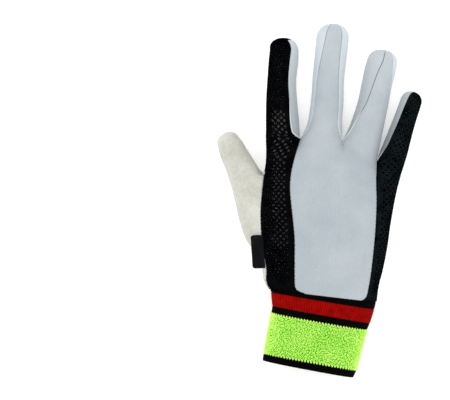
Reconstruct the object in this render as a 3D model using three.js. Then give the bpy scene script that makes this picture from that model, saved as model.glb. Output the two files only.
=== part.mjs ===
import * as THREE from 'three';
import { mergeVertices } from 'three/addons/utils/BufferGeometryUtils.js';

// Right-hand inner glove, lying palm down. Millimetres, +Z up, +Y from the cuff to the fingertips,
// +X from the thumb to the little finger. The glove is hollow: every piece is a thin sewn wall.

// Walls and seams
const LEATHER_WALL = 1.2;
const KNIT_WALL = 1.1;
const MESH_WALL = 1.2;
const CUFF_WALL = 2.4;
const SEAM_DRAW = 0.22;
const FOLDED_SEAM_DRAW = 0.37;
const FLAT_SINK = 1.8;
const BODY_SINK = 2.4;
const FLOOR_ROUNDING = 1.4;

// Columns of the skin, counted across each finger
const BACK_COLUMNS = 4;
const PALM_COLUMNS = 4;
const SIDE_COLUMNS = 2;
const FINGER_COUNT = 4;
const FINGER_ROWS = [0, 0.045, 0.11, 0.2, 0.31, 0.44, 0.58, 0.72, 0.86, 1];
const TIP_ANGLES = [28, 52, 72];
const TIP_SQUARENESS = 2.2;
const CROTCH_SQUARENESS = 4.2;
const CROTCH_REACH = 14;
const FORK_DIP = 0.3;
const FINGER_SQUARENESS = 2.3;
const BODY_SQUARENESS = 2.5;
const MERGE_REACH = 1e-4;
const LEAST_DRAW_STRENGTH = 0.7;

// Each finger from its root to the shoulder of its tip: y and x of the centre line, half width, half
// thickness, turn of the section, and the angles of the four seams round the section (0 is straight up,
// positive towards the little finger). sideEnd is the row of the tip at which the side pieces end.
const FINGER_COLUMNS = ['y', 'x', 'half', 'thick', 'turn', 'backLeft', 'backRight', 'palmRight', 'palmLeft'];
const FINGERS = [
  // Index finger
  {
    tip: { x: -26.4, y: 112.6 },
    sideEnd: 2,
    rows: [
      [42.7, -26.2, 11.8, 11.4, 0, -105, 80, 118, -105],
      [45.4, -26.2, 11.8, 11.3, 0, -105, 41, 115, -105],
      [48.6, -26.2, 11.7, 11.2, 0, -105, 31, 112, -105],
      [56.9, -26.5, 11.5, 10.8, 0, -105, 27, 110, -105],
      [69.3, -27.0, 10.8, 10.3, 0, -105, 29, 110, -105],
      [83.1, -26.9, 10.1, 9.8, 0, -105, 26, 110, -105],
      [96.9, -25.6, 10.4, 9.3, 0, -105, 24, 110, -105],
      [104.5, -25.2, 10.0, 8.7, 2, -105, 29, 108, -105],
    ].map((row) => Object.fromEntries(row.map((value, i) => [FINGER_COLUMNS[i], value]))),
  },
  // Middle finger
  {
    tip: { x: 9.6, y: 122.4 },
    sideEnd: 3,
    rows: [
      [41.7, 0.2, 14.6, 11.4, -4, -80, 80, 118, -118],
      [49.3, 2.1, 12.8, 11.2, 0, -62, 52, 112, -112],
      [56.9, 3.3, 11.8, 10.9, 3, -55, 46, 110, -110],
      [69.3, 4.6, 11.3, 10.4, -5, -52, 42, 110, -110],
      [83.8, 5.3, 11.0, 9.9, -5, -47, 39, 110, -110],
      [98.9, 6.9, 11.2, 9.5, -5, -37, 34, 110, -110],
      [112.1, 8.3, 11.4, 8.9, -5, -27, 33, 108, -108],
    ].map((row) => Object.fromEntries(row.map((value, i) => [FINGER_COLUMNS[i], value]))),
  },
  // Ring finger
  {
    tip: { x: 44.9, y: 104.2 },
    sideEnd: 3,
    rows: [
      [33.9, 26.8, 13.7, 11.4, -29, -80, 80, 118, -118],
      [44.4, 30.1, 12.1, 11.0, -19, -60, 80, 112, -112],
      [54.8, 33.0, 11.3, 10.6, -14, -46, 78, 110, -110],
      [66.5, 36.1, 10.7, 10.1, -13, -28, 75, 110, -110],
      [78.9, 38.6, 10.6, 9.6, -13, -16, 68, 110, -110],
      [89.3, 41.0, 10.9, 9.2, -13, -8, 52, 110, -110],
      [95.8, 42.6, 10.6, 8.7, -13, 0, 42, 108, -108],
    ].map((row) => Object.fromEntries(row.map((value, i) => [FINGER_COLUMNS[i], value]))),
  },
  // Little finger
  {
    tip: { x: 65.2, y: 75.1 },
    sideEnd: 3,
    rows: [
      [26.9, 48.6, 9.8, 10.8, -3, -78, 105, 105, -118],
      [35.5, 51.5, 9.2, 10.0, -13, -46, 105, 105, -112],
      [43.1, 54.0, 8.6, 9.4, -18, -40, 105, 105, -110],
      [50.6, 56.5, 8.1, 8.9, -20, -35, 105, 105, -110],
      [58.9, 59.3, 7.7, 8.4, -21, -32, 105, 105, -110],
      [65.1, 61.5, 7.6, 8.0, -21, -29, 105, 105, -110],
      [68.2, 62.5, 7.5, 7.6, -21, -26, 105, 105, -110],
    ].map((row) => Object.fromEntries(row.map((value, i) => [FINGER_COLUMNS[i], value]))),
  },
];

// Lines that run up the hand, as x at a few heights: the edge of the mesh at the thumb side, the two
// seams of the back panel, the line between the middle and ring fingers, and the outer edge
const MESH_EDGE = [
  { y: -61.5, x: -35.3 }, { y: -58.0, x: -37.2 }, { y: -54.0, x: -38.1 }, { y: -48.0, x: -37.8 },
  { y: -41.0, x: -38.9 }, { y: -23.9, x: -41.0 }, { y: -6.6, x: -41.5 }, { y: 6.5, x: -40.5 },
  { y: 15.5, x: -39.6 }, { y: 24.4, x: -38.3 }, { y: 42.7, x: -38.0 },
];
const PANEL_LEFT = [
  { y: -64.0, x: -11.6 }, { y: -62.8, x: -15.0 }, { y: -61.4, x: -17.6 }, { y: -59.2, x: -18.6 },
  { y: -42.5, x: -18.8 }, { y: -27.3, x: -18.8 }, { y: -14.9, x: -19.8 }, { y: 6.5, x: -21.9 },
  { y: 16.8, x: -21.4 }, { y: 27.2, x: -19.3 }, { y: 42.8, x: -14.4 },
];
const MIDDLE_RING = [
  { y: -65.3, x: 6.9 }, { y: -27.3, x: 8.3 }, { y: 7.2, x: 11.0 }, { y: 40.6, x: 14.8 },
];
const PANEL_RIGHT = [
  { y: -69.0, x: 27.4 }, { y: -66.8, x: 30.6 }, { y: -60.4, x: 32.4 }, { y: -48.0, x: 34.4 },
  { y: -22.1, x: 37.0 }, { y: -1.4, x: 38.0 }, { y: 14.1, x: 37.8 }, { y: 27.3, x: 38.8 },
];
const OUTER_EDGE = [
  { y: -70.0, x: 38.4 }, { y: -58.4, x: 40.0 }, { y: -48.0, x: 42.7 }, { y: -32.2, x: 45.8 },
  { y: -14.9, x: 48.3 }, { y: 7.2, x: 52.6 }, { y: 26.5, x: 58.4 },
];
const HAND_LINES = [MESH_EDGE, PANEL_LEFT, MIDDLE_RING, PANEL_RIGHT, OUTER_EDGE];

// The forks between the fingers, from the thumb side to the outer side
const FORKS = [
  { x: -38.0, y: 42.7 }, { x: -14.4, y: 42.7 }, { x: 14.8, y: 40.6 },
  { x: 38.8, y: 27.2 }, { x: 58.4, y: 26.5 },
];

// Rows of the hand from the cuff (0) to the forks (1), the half thickness there and where the seam
// at the thumb side lies round the section
const HAND_ROWS = [0, 0.015, 0.04, 0.09, 0.16, 0.24, 0.33, 0.42, 0.51, 0.6, 0.68, 0.76, 0.83, 0.89, 0.945, 1];
const HAND_SHAPE = [
  { row: 0, thick: 17.0, seam: -76 }, { row: 0.05, thick: 16.95, seam: -71 },
  { row: 0.12, thick: 16.9, seam: -66 }, { row: 0.24, thick: 17.0, seam: -65 },
  { row: 0.4, thick: 17.0, seam: -61 },
  { row: 0.55, thick: 16.6, seam: -60 }, { row: 0.7, thick: 16.0, seam: -64 },
  { row: 0.76, thick: 15.6, seam: -70 }, { row: 0.83, thick: 15.0, seam: -98 },
  { row: 0.9, thick: 14.2, seam: -105 }, { row: 1, thick: 13.2, seam: -105 },
];
const OUTER_SEAM = 105;
const PALM_HOLLOW = { x: 8, y: -12, halfX: 25, halfY: 33, depth: 2.4 };
const KNUCKLE_START = 0.76;
const CROSSING_ROUNDS = 6;

// The thumb is set into an opening that spans these rows and palm columns
const OPENING = { bottom: 5, top: 11, columns: 4, cornerShare: 0.2 };
const THUMB = [
  { forkX: -40.5, forkY: 16.0, outX: -48.0, outY: -38.6, thick: 12.2 },
  { forkX: -42.2, forkY: 20.3, outX: -56.0, outY: -28.9, thick: 12.1 },
  { forkX: -44.2, forkY: 24.4, outX: -57.0, outY: -12.8, thick: 11.8 },
  { forkX: -47.3, forkY: 29.6, outX: -60.3, outY: 3.0, thick: 11.3 },
  { forkX: -51.1, forkY: 35.5, outX: -64.9, outY: 18.9, thick: 10.6 },
  { forkX: -54.2, forkY: 41.0, outX: -69.4, outY: 30.2, thick: 9.8 },
  { forkX: -56.8, forkY: 44.2, outX: -71.1, outY: 37.1, thick: 9.0 },
];
const THUMB_TIP_LENGTH = 6.6;
const THUMB_STATIONS = [0.9, 1.5, 2.1, 2.7, 3.3, 3.9, 4.5, 5.2, 6];
const THUMB_BLEND_END = 2.2;

// Lines across the cuff, from the thumb side to the outer side: where it meets the hand, and the lower
// edges of its bands
const CUFF_START = { leftX: -35.3, leftY: -61.3, rightX: 38.2, rightY: -70.0, thick: 17.0 };
const CUFF_LINES = [
  { leftX: -34.8, leftY: -63.1, rightX: 37.0, rightY: -74.9, thick: 17.2 },
  { leftX: -33.9, leftY: -72.8, rightX: 33.9, rightY: -84.7, thick: 17.2 },
  { leftX: -34.6, leftY: -78.0, rightX: 31.6, rightY: -89.8, thick: 17.1 },
  { leftX: -39.3, leftY: -104.9, rightX: 24.6, rightY: -116.4, thick: 16.6 },
  { leftX: -40.4, leftY: -110.7, rightX: 22.0, rightY: -122.4, thick: 16.5 },
];
const CUFF_BANDS = [
  { name: 'cuff_top_trim', rows: 1 },
  { name: 'cuff_red_band', rows: 2 },
  { name: 'cuff_middle_trim', rows: 1 },
  { name: 'cuff_green_band', rows: 4 },
  { name: 'cuff_bottom_hem', rows: 1 },
];

// The side label: a woven strip folded double, its open edge sewn along the seam at the thumb side.
// Root points are the underside of its sewn edge.
const LABEL = {
  low: [-40.4, -46.5, 21.2],
  high: [-41.9, -23.6, 24.4],
  width: 7.0,
  thick: 1.3,
  slit: 0.4,
  droop: 9,
  steps: 3,
  curveSegments: 5,
  color: 0x101113,
  roughness: 0.7,
};

// Centre of the glove's own outline, put over the origin
const OUTLINE_CENTRE = { x: -1.13, y: 0.1 };

// Colours and finish of each piece
const FINISHES = {
  palm_leather: { color: 0xdcddd6, roughness: 0.75, wall: LEATHER_WALL },
  thumb_leather: { color: 0xe2ded0, roughness: 0.75, wall: LEATHER_WALL, draw: FOLDED_SEAM_DRAW },
  back_panel: { color: 0xc6cfd6, roughness: 0.65, wall: KNIT_WALL },
  index_mesh_panel: { color: 0x0b0d10, roughness: 0.85, wall: MESH_WALL },
  little_mesh_panel: { color: 0x0b0d10, roughness: 0.85, wall: MESH_WALL },
  fourchette_index_middle: { color: 0xbec8cd, roughness: 0.65, wall: KNIT_WALL, draw: FOLDED_SEAM_DRAW },
  fourchette_middle_ring: { color: 0xbec8cd, roughness: 0.65, wall: KNIT_WALL, draw: FOLDED_SEAM_DRAW },
  fourchette_ring_little: { color: 0xbec8cd, roughness: 0.65, wall: KNIT_WALL, draw: FOLDED_SEAM_DRAW },
  cuff_top_trim: { color: 0x0c0c0d, roughness: 0.9, wall: CUFF_WALL },
  cuff_red_band: { color: 0xa3150c, roughness: 0.9, wall: CUFF_WALL },
  cuff_middle_trim: { color: 0x0c0c0d, roughness: 0.9, wall: CUFF_WALL },
  cuff_green_band: { color: 0x9df04a, roughness: 0.95, wall: CUFF_WALL },
  cuff_bottom_hem: { color: 0x0c0c0d, roughness: 0.9, wall: CUFF_WALL },
};

const DEGREE = Math.PI / 180;

function mix(a, b, share) {
  return a + (b - a) * share;
}

function smooth(value) {
  const clamped = Math.min(1, Math.max(0, value));
  return clamped * clamped * (3 - 2 * clamped);
}

// Smooth curve through one column of a table, read against another column
function readTable(rows, key, at, column) {
  const value = (i) => rows[i][column];
  const place = (i) => rows[i][key];
  const last = rows.length - 1;
  if (at <= place(0)) return value(0);
  if (at >= place(last)) return value(last);
  let i = 0;
  while (at > place(i + 1)) i += 1;
  const slope = (j) => {
    const before = Math.max(0, j - 1);
    const after = Math.min(last, j + 1);
    return (value(after) - value(before)) / (place(after) - place(before));
  };
  const width = place(i + 1) - place(i);
  const s = (at - place(i)) / width;
  const s2 = s * s;
  const s3 = s2 * s;
  return (2 * s3 - 3 * s2 + 1) * value(i) + (s3 - 2 * s2 + s) * width * slope(i)
    + (3 * s2 - 2 * s3) * value(i + 1) + (s3 - s2) * width * slope(i + 1);
}

// Sine and cosine of a squared-off oval
function ovalSine(angle, squareness) {
  const s = Math.sin(angle * DEGREE);
  return Math.sign(s) * Math.abs(s) ** (2 / squareness);
}

function ovalCosine(angle, squareness) {
  const c = Math.cos(angle * DEGREE);
  return Math.sign(c) * Math.abs(c) ** (2 / squareness);
}

// What would hang below the surface that the glove lies on is pressed flat
function pressFlat(z) {
  if (z <= -FLOOR_ROUNDING) return 0;
  if (z >= FLOOR_ROUNDING) return z;
  return (z + FLOOR_ROUNDING) ** 2 / (4 * FLOOR_ROUNDING);
}

// Angles of a finger's loop of columns: back, side towards the little finger, palm, side towards the thumb
function loopAngles(seams) {
  const angles = [];
  const stretch = (from, to, count) => {
    for (let i = 0; i < count; i += 1) angles.push(mix(from, to, i / count));
  };
  const { backLeft, backRight, palmRight, palmLeft } = seams;
  stretch(backLeft, backRight, BACK_COLUMNS);
  if (palmRight > backRight + 1) stretch(backRight, palmRight, SIDE_COLUMNS);
  stretch(palmRight, 360 + palmLeft, PALM_COLUMNS);
  if (palmLeft < backLeft - 1) stretch(360 + palmLeft, 360 + backLeft, SIDE_COLUMNS);
  return angles;
}

function sectionAt(finger, y) {
  const section = {};
  for (const column of FINGER_COLUMNS) section[column] = readTable(finger.rows, 'y', y, column);
  return section;
}

// One point of a finger's section; scale shrinks the section towards the tip
function fingerPoint(section, angle, rootShare, scale) {
  const lower = Math.cos(angle * DEGREE) < 0;
  const squareness = lower ? mix(FINGER_SQUARENESS, CROTCH_SQUARENESS, rootShare) : 2;
  const across = section.half * scale * ovalSine(angle, squareness);
  const height = section.thick * scale * ovalCosine(angle, squareness);
  return [
    section.x + across * Math.cos(section.turn * DEGREE),
    section.y + across * Math.sin(section.turn * DEGREE),
    pressFlat(section.thick - FLAT_SINK + height),
  ];
}

// Loops of one finger from its root to its tip, and the point of the tip
function fingerLoops(finger) {
  const first = finger.rows[0];
  const shoulder = finger.rows[finger.rows.length - 1];
  const loops = [];
  for (const share of FINGER_ROWS) {
    const y = mix(first.y, shoulder.y, share);
    const section = sectionAt(finger, y);
    const rootShare = 1 - smooth((y - first.y) / CROTCH_REACH);
    loops.push(loopAngles(section).map((angle) => fingerPoint(section, angle, rootShare, 1)));
  }
  for (const tipAngle of TIP_ANGLES) {
    const advance = ovalSine(tipAngle, TIP_SQUARENESS);
    const section = {
      ...shoulder,
      x: mix(shoulder.x, finger.tip.x, advance),
      y: mix(shoulder.y, finger.tip.y, advance),
    };
    const scale = ovalCosine(tipAngle, TIP_SQUARENESS);
    loops.push(loopAngles(section).map((angle) => fingerPoint(section, angle, 0, scale)));
  }
  const pole = [finger.tip.x, finger.tip.y, shoulder.thick - FLAT_SINK];
  return { loops, pole };
}

// Height of a row of the hand at a given x
function cuffLineY(x) {
  const share = (x - CUFF_START.leftX) / (CUFF_START.rightX - CUFF_START.leftX);
  return mix(CUFF_START.leftY, CUFF_START.rightY, share);
}

function forkLineY(x, sharp) {
  const bent = readTable(FORKS, 'x', x, 'y');
  const end = FORKS.length - 1;
  let i = 0;
  while (i < end - 1 && x > FORKS[i + 1].x) i += 1;
  const share = Math.min(1, Math.max(0, (x - FORKS[i].x) / (FORKS[i + 1].x - FORKS[i].x)));
  return mix(bent, mix(FORKS[i].y, FORKS[i + 1].y, share), sharp);
}

function rowY(row, x) {
  const sharp = smooth((row - KNUCKLE_START) / (1 - KNUCKLE_START));
  return mix(cuffLineY(x), forkLineY(x, sharp), row);
}

// Where a line up the hand crosses a row, found in a few rounds because the row's height changes with x
function lineX(line, row) {
  let x = readTable(line, 'y', 0, 'x');
  for (let i = 0; i < CROSSING_ROUNDS; i += 1) x = readTable(line, 'y', rowY(row, x), 'x');
  return x;
}

// Section of the hand at a row: centre, half width, half thickness and the angles of its seams
function handSection(row) {
  const seam = readTable(HAND_SHAPE, 'row', row, 'seam');
  const thick = readTable(HAND_SHAPE, 'row', row, 'thick');
  const lines = HAND_LINES.map((line) => lineX(line, row));
  const reach = seam > -90 ? -ovalSine(seam, BODY_SQUARENESS) : 1;
  const half = (lines[4] - lines[0]) / (1 + reach);
  const centre = lines[4] - half;
  const seamAngle = (x) => {
    const share = (x - centre) / half;
    return Math.asin(Math.sign(share) * Math.abs(share) ** (BODY_SQUARENESS / 2)) / DEGREE;
  };
  const angles = [seam, seamAngle(lines[1]), seamAngle(lines[2]), seamAngle(lines[3]), OUTER_SEAM];
  return { row, seam, thick, lines, half, centre, angles };
}

// The middle of the palm stays off the surface between the pads of the hand
function palmHollow(x, y) {
  const across = (x - PALM_HOLLOW.x) / PALM_HOLLOW.halfX;
  const along = (y - PALM_HOLLOW.y) / PALM_HOLLOW.halfY;
  const reach = across ** 2 + along ** 2;
  return reach < 1 ? PALM_HOLLOW.depth * (1 - reach) ** 2 : 0;
}

function handPoint(section, angle) {
  const x = section.centre + section.half * ovalSine(angle, BODY_SQUARENESS);
  const y = rowY(section.row, x);
  const z = section.thick - BODY_SINK + section.thick * ovalCosine(angle, BODY_SQUARENESS);
  const under = smooth(-Math.cos(angle * DEGREE) * 2);
  return [x, y, pressFlat(z) + under * palmHollow(x, y)];
}

// The finger's own section carried on into the hand, for the valleys between the knuckles
function knucklePoint(section, fingerIndex, angle) {
  const root = FINGERS[fingerIndex].rows[0];
  const left = section.lines[fingerIndex];
  const right = section.lines[fingerIndex + 1];
  const lower = Math.cos(angle * DEGREE) < 0;
  const squareness = lower ? CROTCH_SQUARENESS : 2;
  const thick = mix(section.thick, root.thick, smooth((section.row - KNUCKLE_START) / (1 - KNUCKLE_START)));
  const x = (left + right) / 2 + (right - left) / 2 * ovalSine(angle, squareness);
  return [x, rowY(section.row, x), pressFlat(thick - FLAT_SINK + thick * ovalCosine(angle, squareness))];
}

function blendPoints(a, b, share) {
  return a.map((value, axis) => mix(value, b[axis], share));
}

// Angles of the seams as the palm has them, from the outer seam back to the thumb side
function palmSeams(section) {
  const angles = section.angles.map((angle, k) => (k === FINGER_COUNT ? angle : 180 - angle));
  angles[0] = 360 + section.seam;
  return angles;
}

// One loop of the hand: back columns from the thumb-side seam to the outer seam, then palm columns back
function handLoop(row) {
  const section = handSection(row);
  const share = smooth((row - KNUCKLE_START) / (1 - KNUCKLE_START));
  const loop = [];
  for (let f = 0; f < FINGER_COUNT; f += 1) {
    const root = FINGERS[f].rows[0];
    for (let i = 0; i < BACK_COLUMNS; i += 1) {
      const plain = handPoint(section, mix(section.angles[f], section.angles[f + 1], i / BACK_COLUMNS));
      const knuckle = knucklePoint(section, f, mix(root.backLeft, root.backRight, i / BACK_COLUMNS));
      loop.push(blendPoints(plain, knuckle, share));
    }
  }
  const palmAngles = palmSeams(section);
  for (let f = FINGER_COUNT - 1; f >= 0; f -= 1) {
    const root = FINGERS[f].rows[0];
    for (let i = 0; i < PALM_COLUMNS; i += 1) {
      const plain = handPoint(section, mix(palmAngles[f + 1], palmAngles[f], i / PALM_COLUMNS));
      const knuckle = knucklePoint(section, f, mix(root.palmRight, 360 + root.palmLeft, i / PALM_COLUMNS));
      loop.push(blendPoints(plain, knuckle, share));
    }
  }
  return loop;
}

// One loop of the cuff along a line across it, with the columns where the hand's first row has them
function cuffLoop(line) {
  const first = handSection(0);
  const angles = [];
  for (let f = 0; f < FINGER_COUNT; f += 1) {
    const [from, to] = [first.angles[f], first.angles[f + 1]];
    for (let i = 0; i < BACK_COLUMNS; i += 1) angles.push(mix(from, to, i / BACK_COLUMNS));
  }
  const palmAngles = palmSeams(first);
  for (let f = FINGER_COUNT - 1; f >= 0; f -= 1) {
    const [from, to] = [palmAngles[f + 1], palmAngles[f]];
    for (let i = 0; i < PALM_COLUMNS; i += 1) angles.push(mix(from, to, i / PALM_COLUMNS));
  }
  return angles.map((angle) => {
    const share = (1 + ovalSine(angle, BODY_SQUARENESS)) / 2;
    const z = line.thick - BODY_SINK + line.thick * ovalCosine(angle, BODY_SQUARENESS);
    return [mix(line.leftX, line.rightX, share), mix(line.leftY, line.rightY, share), pressFlat(z)];
  });
}

// The whole skin of the glove: points, and faces that carry the name of their piece
class Skin {
  constructor() {
    this.points = [];
    this.faces = [];
  }

  addLoop(points) {
    return points.map((point) => this.points.push(point) - 1);
  }

  addFace(piece, ...corners) {
    this.faces.push({ piece, corners });
  }

  // Faces between a loop and the next one up; nameOf gives the piece of each column
  joinLoops(low, high, nameOf) {
    for (let i = 0; i < low.length; i += 1) {
      const next = (i + 1) % low.length;
      const piece = nameOf(i);
      if (piece) this.addFace(piece, low[i], low[next], high[next], high[i]);
    }
  }
}

function buildSkin() {
  const skin = new Skin();
  const backCount = FINGER_COUNT * BACK_COLUMNS;
  const loopCount = backCount + FINGER_COUNT * PALM_COLUMNS;

  // Hand rows; the last row is replaced by the roots of the fingers
  const handLoops = HAND_ROWS.map((row) => skin.addLoop(handLoop(row)));
  const rootLoop = handLoops[handLoops.length - 1];
  const handPiece = (row) => (column) => {
    if (column < BACK_COLUMNS) return 'index_mesh_panel';
    if (column < backCount - BACK_COLUMNS) return 'back_panel';
    if (column < backCount) return 'little_mesh_panel';
    const inOpening = row >= OPENING.bottom && row < OPENING.top && column >= loopCount - OPENING.columns;
    return inOpening ? null : 'palm_leather';
  };
  for (let r = 0; r + 1 < handLoops.length; r += 1) {
    skin.joinLoops(handLoops[r], handLoops[r + 1], handPiece(r));
  }

  // Fingers; each starts on the hand's last row and shares a short upright line of points at the forks
  const forkMiddles = [];
  FINGERS.forEach((finger, f) => {
    const { loops, pole } = fingerLoops(finger);
    const backStart = f * BACK_COLUMNS;
    const palmStart = backCount + (FINGER_COUNT - 1 - f) * PALM_COLUMNS;
    const columns = [];
    const pieces = [];
    const back = ['index_mesh_panel', 'back_panel', 'back_panel', 'little_mesh_panel'][f];
    const sides = ['fourchette_index_middle', 'fourchette_middle_ring', 'fourchette_ring_little'];
    for (let i = 0; i < BACK_COLUMNS; i += 1) {
      columns.push(rootLoop[backStart + i]);
      pieces.push(back);
    }
    if (f < FINGER_COUNT - 1) {
      columns.push(rootLoop[backStart + BACK_COLUMNS]);
      const top = skin.points[rootLoop[backStart + BACK_COLUMNS]];
      const bottom = skin.points[rootLoop[palmStart]];
      for (let i = 1; i < SIDE_COLUMNS; i += 1) {
        const middle = blendPoints(top, bottom, i / SIDE_COLUMNS);
        middle[1] -= FORK_DIP;
        forkMiddles[f] = skin.addLoop([middle])[0];
        columns.push(forkMiddles[f]);
      }
      for (let i = 0; i < SIDE_COLUMNS; i += 1) pieces.push(sides[f]);
    }
    for (let i = 0; i < PALM_COLUMNS; i += 1) {
      columns.push(rootLoop[palmStart + i]);
      pieces.push('palm_leather');
    }
    if (f > 0) {
      columns.push(rootLoop[palmStart + PALM_COLUMNS]);
      columns.push(forkMiddles[f - 1]);
      for (let i = 0; i < SIDE_COLUMNS; i += 1) pieces.push(sides[f - 1]);
    }
    let low = columns;
    for (let r = 1; r < loops.length; r += 1) {
      const high = skin.addLoop(loops[r]);
      const beyondSides = r >= FINGER_ROWS.length + finger.sideEnd;
      const nameOf = (column) => {
        const piece = pieces[column];
        if (!beyondSides || !piece.startsWith('fourchette')) return piece;
        return f === 0 ? 'index_mesh_panel' : 'palm_leather';
      };
      skin.joinLoops(low, high, nameOf);
      low = high;
    }
    const top = skin.addLoop([pole])[0];
    for (let i = 0; i < low.length; i += 1) {
      let piece = pieces[i];
      if (piece.startsWith('fourchette')) piece = f === 0 ? 'index_mesh_panel' : 'palm_leather';
      skin.addFace(piece, low[i], low[(i + 1) % low.length], top);
    }
  });

  addThumb(skin, handLoops, loopCount);
  addCuff(skin, handLoops[0]);
  return skin;
}

// Point of the thumb's own tube at a station, by the angle round it (positive towards the index finger)
function thumbPoint(station, angle, scale, advance) {
  const stations = THUMB.map((row, i) => ({ ...row, station: i }));
  const read = (column) => readTable(stations, 'station', station, column);
  const fork = [read('forkX'), read('forkY')];
  const out = [read('outX'), read('outY')];
  const width = Math.hypot(fork[0] - out[0], fork[1] - out[1]);
  const across = [(fork[0] - out[0]) / width, (fork[1] - out[1]) / width];
  const along = [-across[1], across[0]];
  const thick = read('thick');
  const reach = (width / 2) * scale * ovalSine(angle, 2);
  return [
    (fork[0] + out[0]) / 2 + reach * across[0] + advance * along[0],
    (fork[1] + out[1]) / 2 + reach * across[1] + advance * along[1],
    pressFlat(thick - FLAT_SINK + thick * scale * ovalCosine(angle, FINGER_SQUARENESS)),
  ];
}

function addThumb(skin, handLoops, loopCount) {
  const { bottom, top, columns } = OPENING;
  const ring = [];
  const angles = [];
  const side = (count, from, to, pick) => {
    for (let i = 0; i < count; i += 1) {
      ring.push(pick(i));
      angles.push(mix(from, to, i / count));
    }
  };
  const rows = top - bottom;
  const inner = loopCount - columns;
  const columnAt = (c) => (c === loopCount ? 0 : c);
  side(rows, -45, 45, (i) => handLoops[bottom + i][0]);
  side(columns, 45, 135, (i) => handLoops[top][columnAt(loopCount - i)]);
  side(rows, 135, 225, (i) => handLoops[top - i][inner]);
  side(columns, 225, 315, (i) => handLoops[bottom][inner + i]);
  // The seam round the thumb has round corners in the palm
  const centre = [0, 1, 2].map((axis) => {
    const values = ring.map((index) => skin.points[index][axis]);
    return values.reduce((sum, value) => sum + value, 0) / ring.length;
  });
  for (const row of [bottom, top]) {
    const corner = handLoops[row][inner];
    const rounded = blendPoints(skin.points[corner], centre, OPENING.cornerShare);
    skin.points[corner] = [rounded[0], rounded[1], skin.points[corner][2]];
  }
  const ringPoints = ring.map((index) => skin.points[index]);
  let low = ring;
  const name = () => 'thumb_leather';
  for (const station of THUMB_STATIONS) {
    const share = smooth(station / THUMB_BLEND_END);
    const points = angles.map((angle, i) => {
      return blendPoints(ringPoints[i], thumbPoint(station, angle, 1, 0), share);
    });
    const high = skin.addLoop(points);
    skin.joinLoops(low, high, name);
    low = high;
  }
  const end = THUMB.length - 1;
  for (const tipAngle of TIP_ANGLES) {
    const advance = THUMB_TIP_LENGTH * ovalSine(tipAngle, TIP_SQUARENESS);
    const scale = ovalCosine(tipAngle, TIP_SQUARENESS);
    const high = skin.addLoop(angles.map((angle) => thumbPoint(end, angle, scale, advance)));
    skin.joinLoops(low, high, name);
    low = high;
  }
  const pole = skin.addLoop([thumbPoint(end, 0, 0, THUMB_TIP_LENGTH)])[0];
  for (let i = 0; i < low.length; i += 1) {
    skin.addFace('thumb_leather', low[i], low[(i + 1) % low.length], pole);
  }
}

function addCuff(skin, handStart) {
  let high = handStart;
  let previous = CUFF_START;
  CUFF_BANDS.forEach((band, b) => {
    const line = CUFF_LINES[b];
    for (let i = 1; i <= band.rows; i += 1) {
      const between = {};
      for (const key of Object.keys(line)) between[key] = mix(previous[key], line[key], i / band.rows);
      const low = skin.addLoop(cuffLoop(between));
      skin.joinLoops(low, high, () => band.name);
      high = low;
    }
    previous = line;
  });
}

// Normals of the whole skin, shared by the pieces that meet at a seam. Each piece has an equal say, so at
// a folded seam the wall's edge lies halfway between the two pieces.
function skinNormals(skin) {
  const shares = skin.points.map(() => new Map());
  for (const { piece, corners } of skin.faces) {
    const ring = corners.map((index) => new THREE.Vector3(...skin.points[index]));
    const normal = new THREE.Vector3();
    ring.forEach((point, i) => normal.add(point.clone().cross(ring[(i + 1) % ring.length])));
    for (const index of corners) {
      if (!shares[index].has(piece)) shares[index].set(piece, new THREE.Vector3());
      shares[index].get(piece).add(normal);
    }
  }
  return shares.map((pieces) => {
    const sum = new THREE.Vector3();
    for (const normal of pieces.values()) sum.add(normal.normalize());
    return sum.normalize();
  });
}

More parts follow.
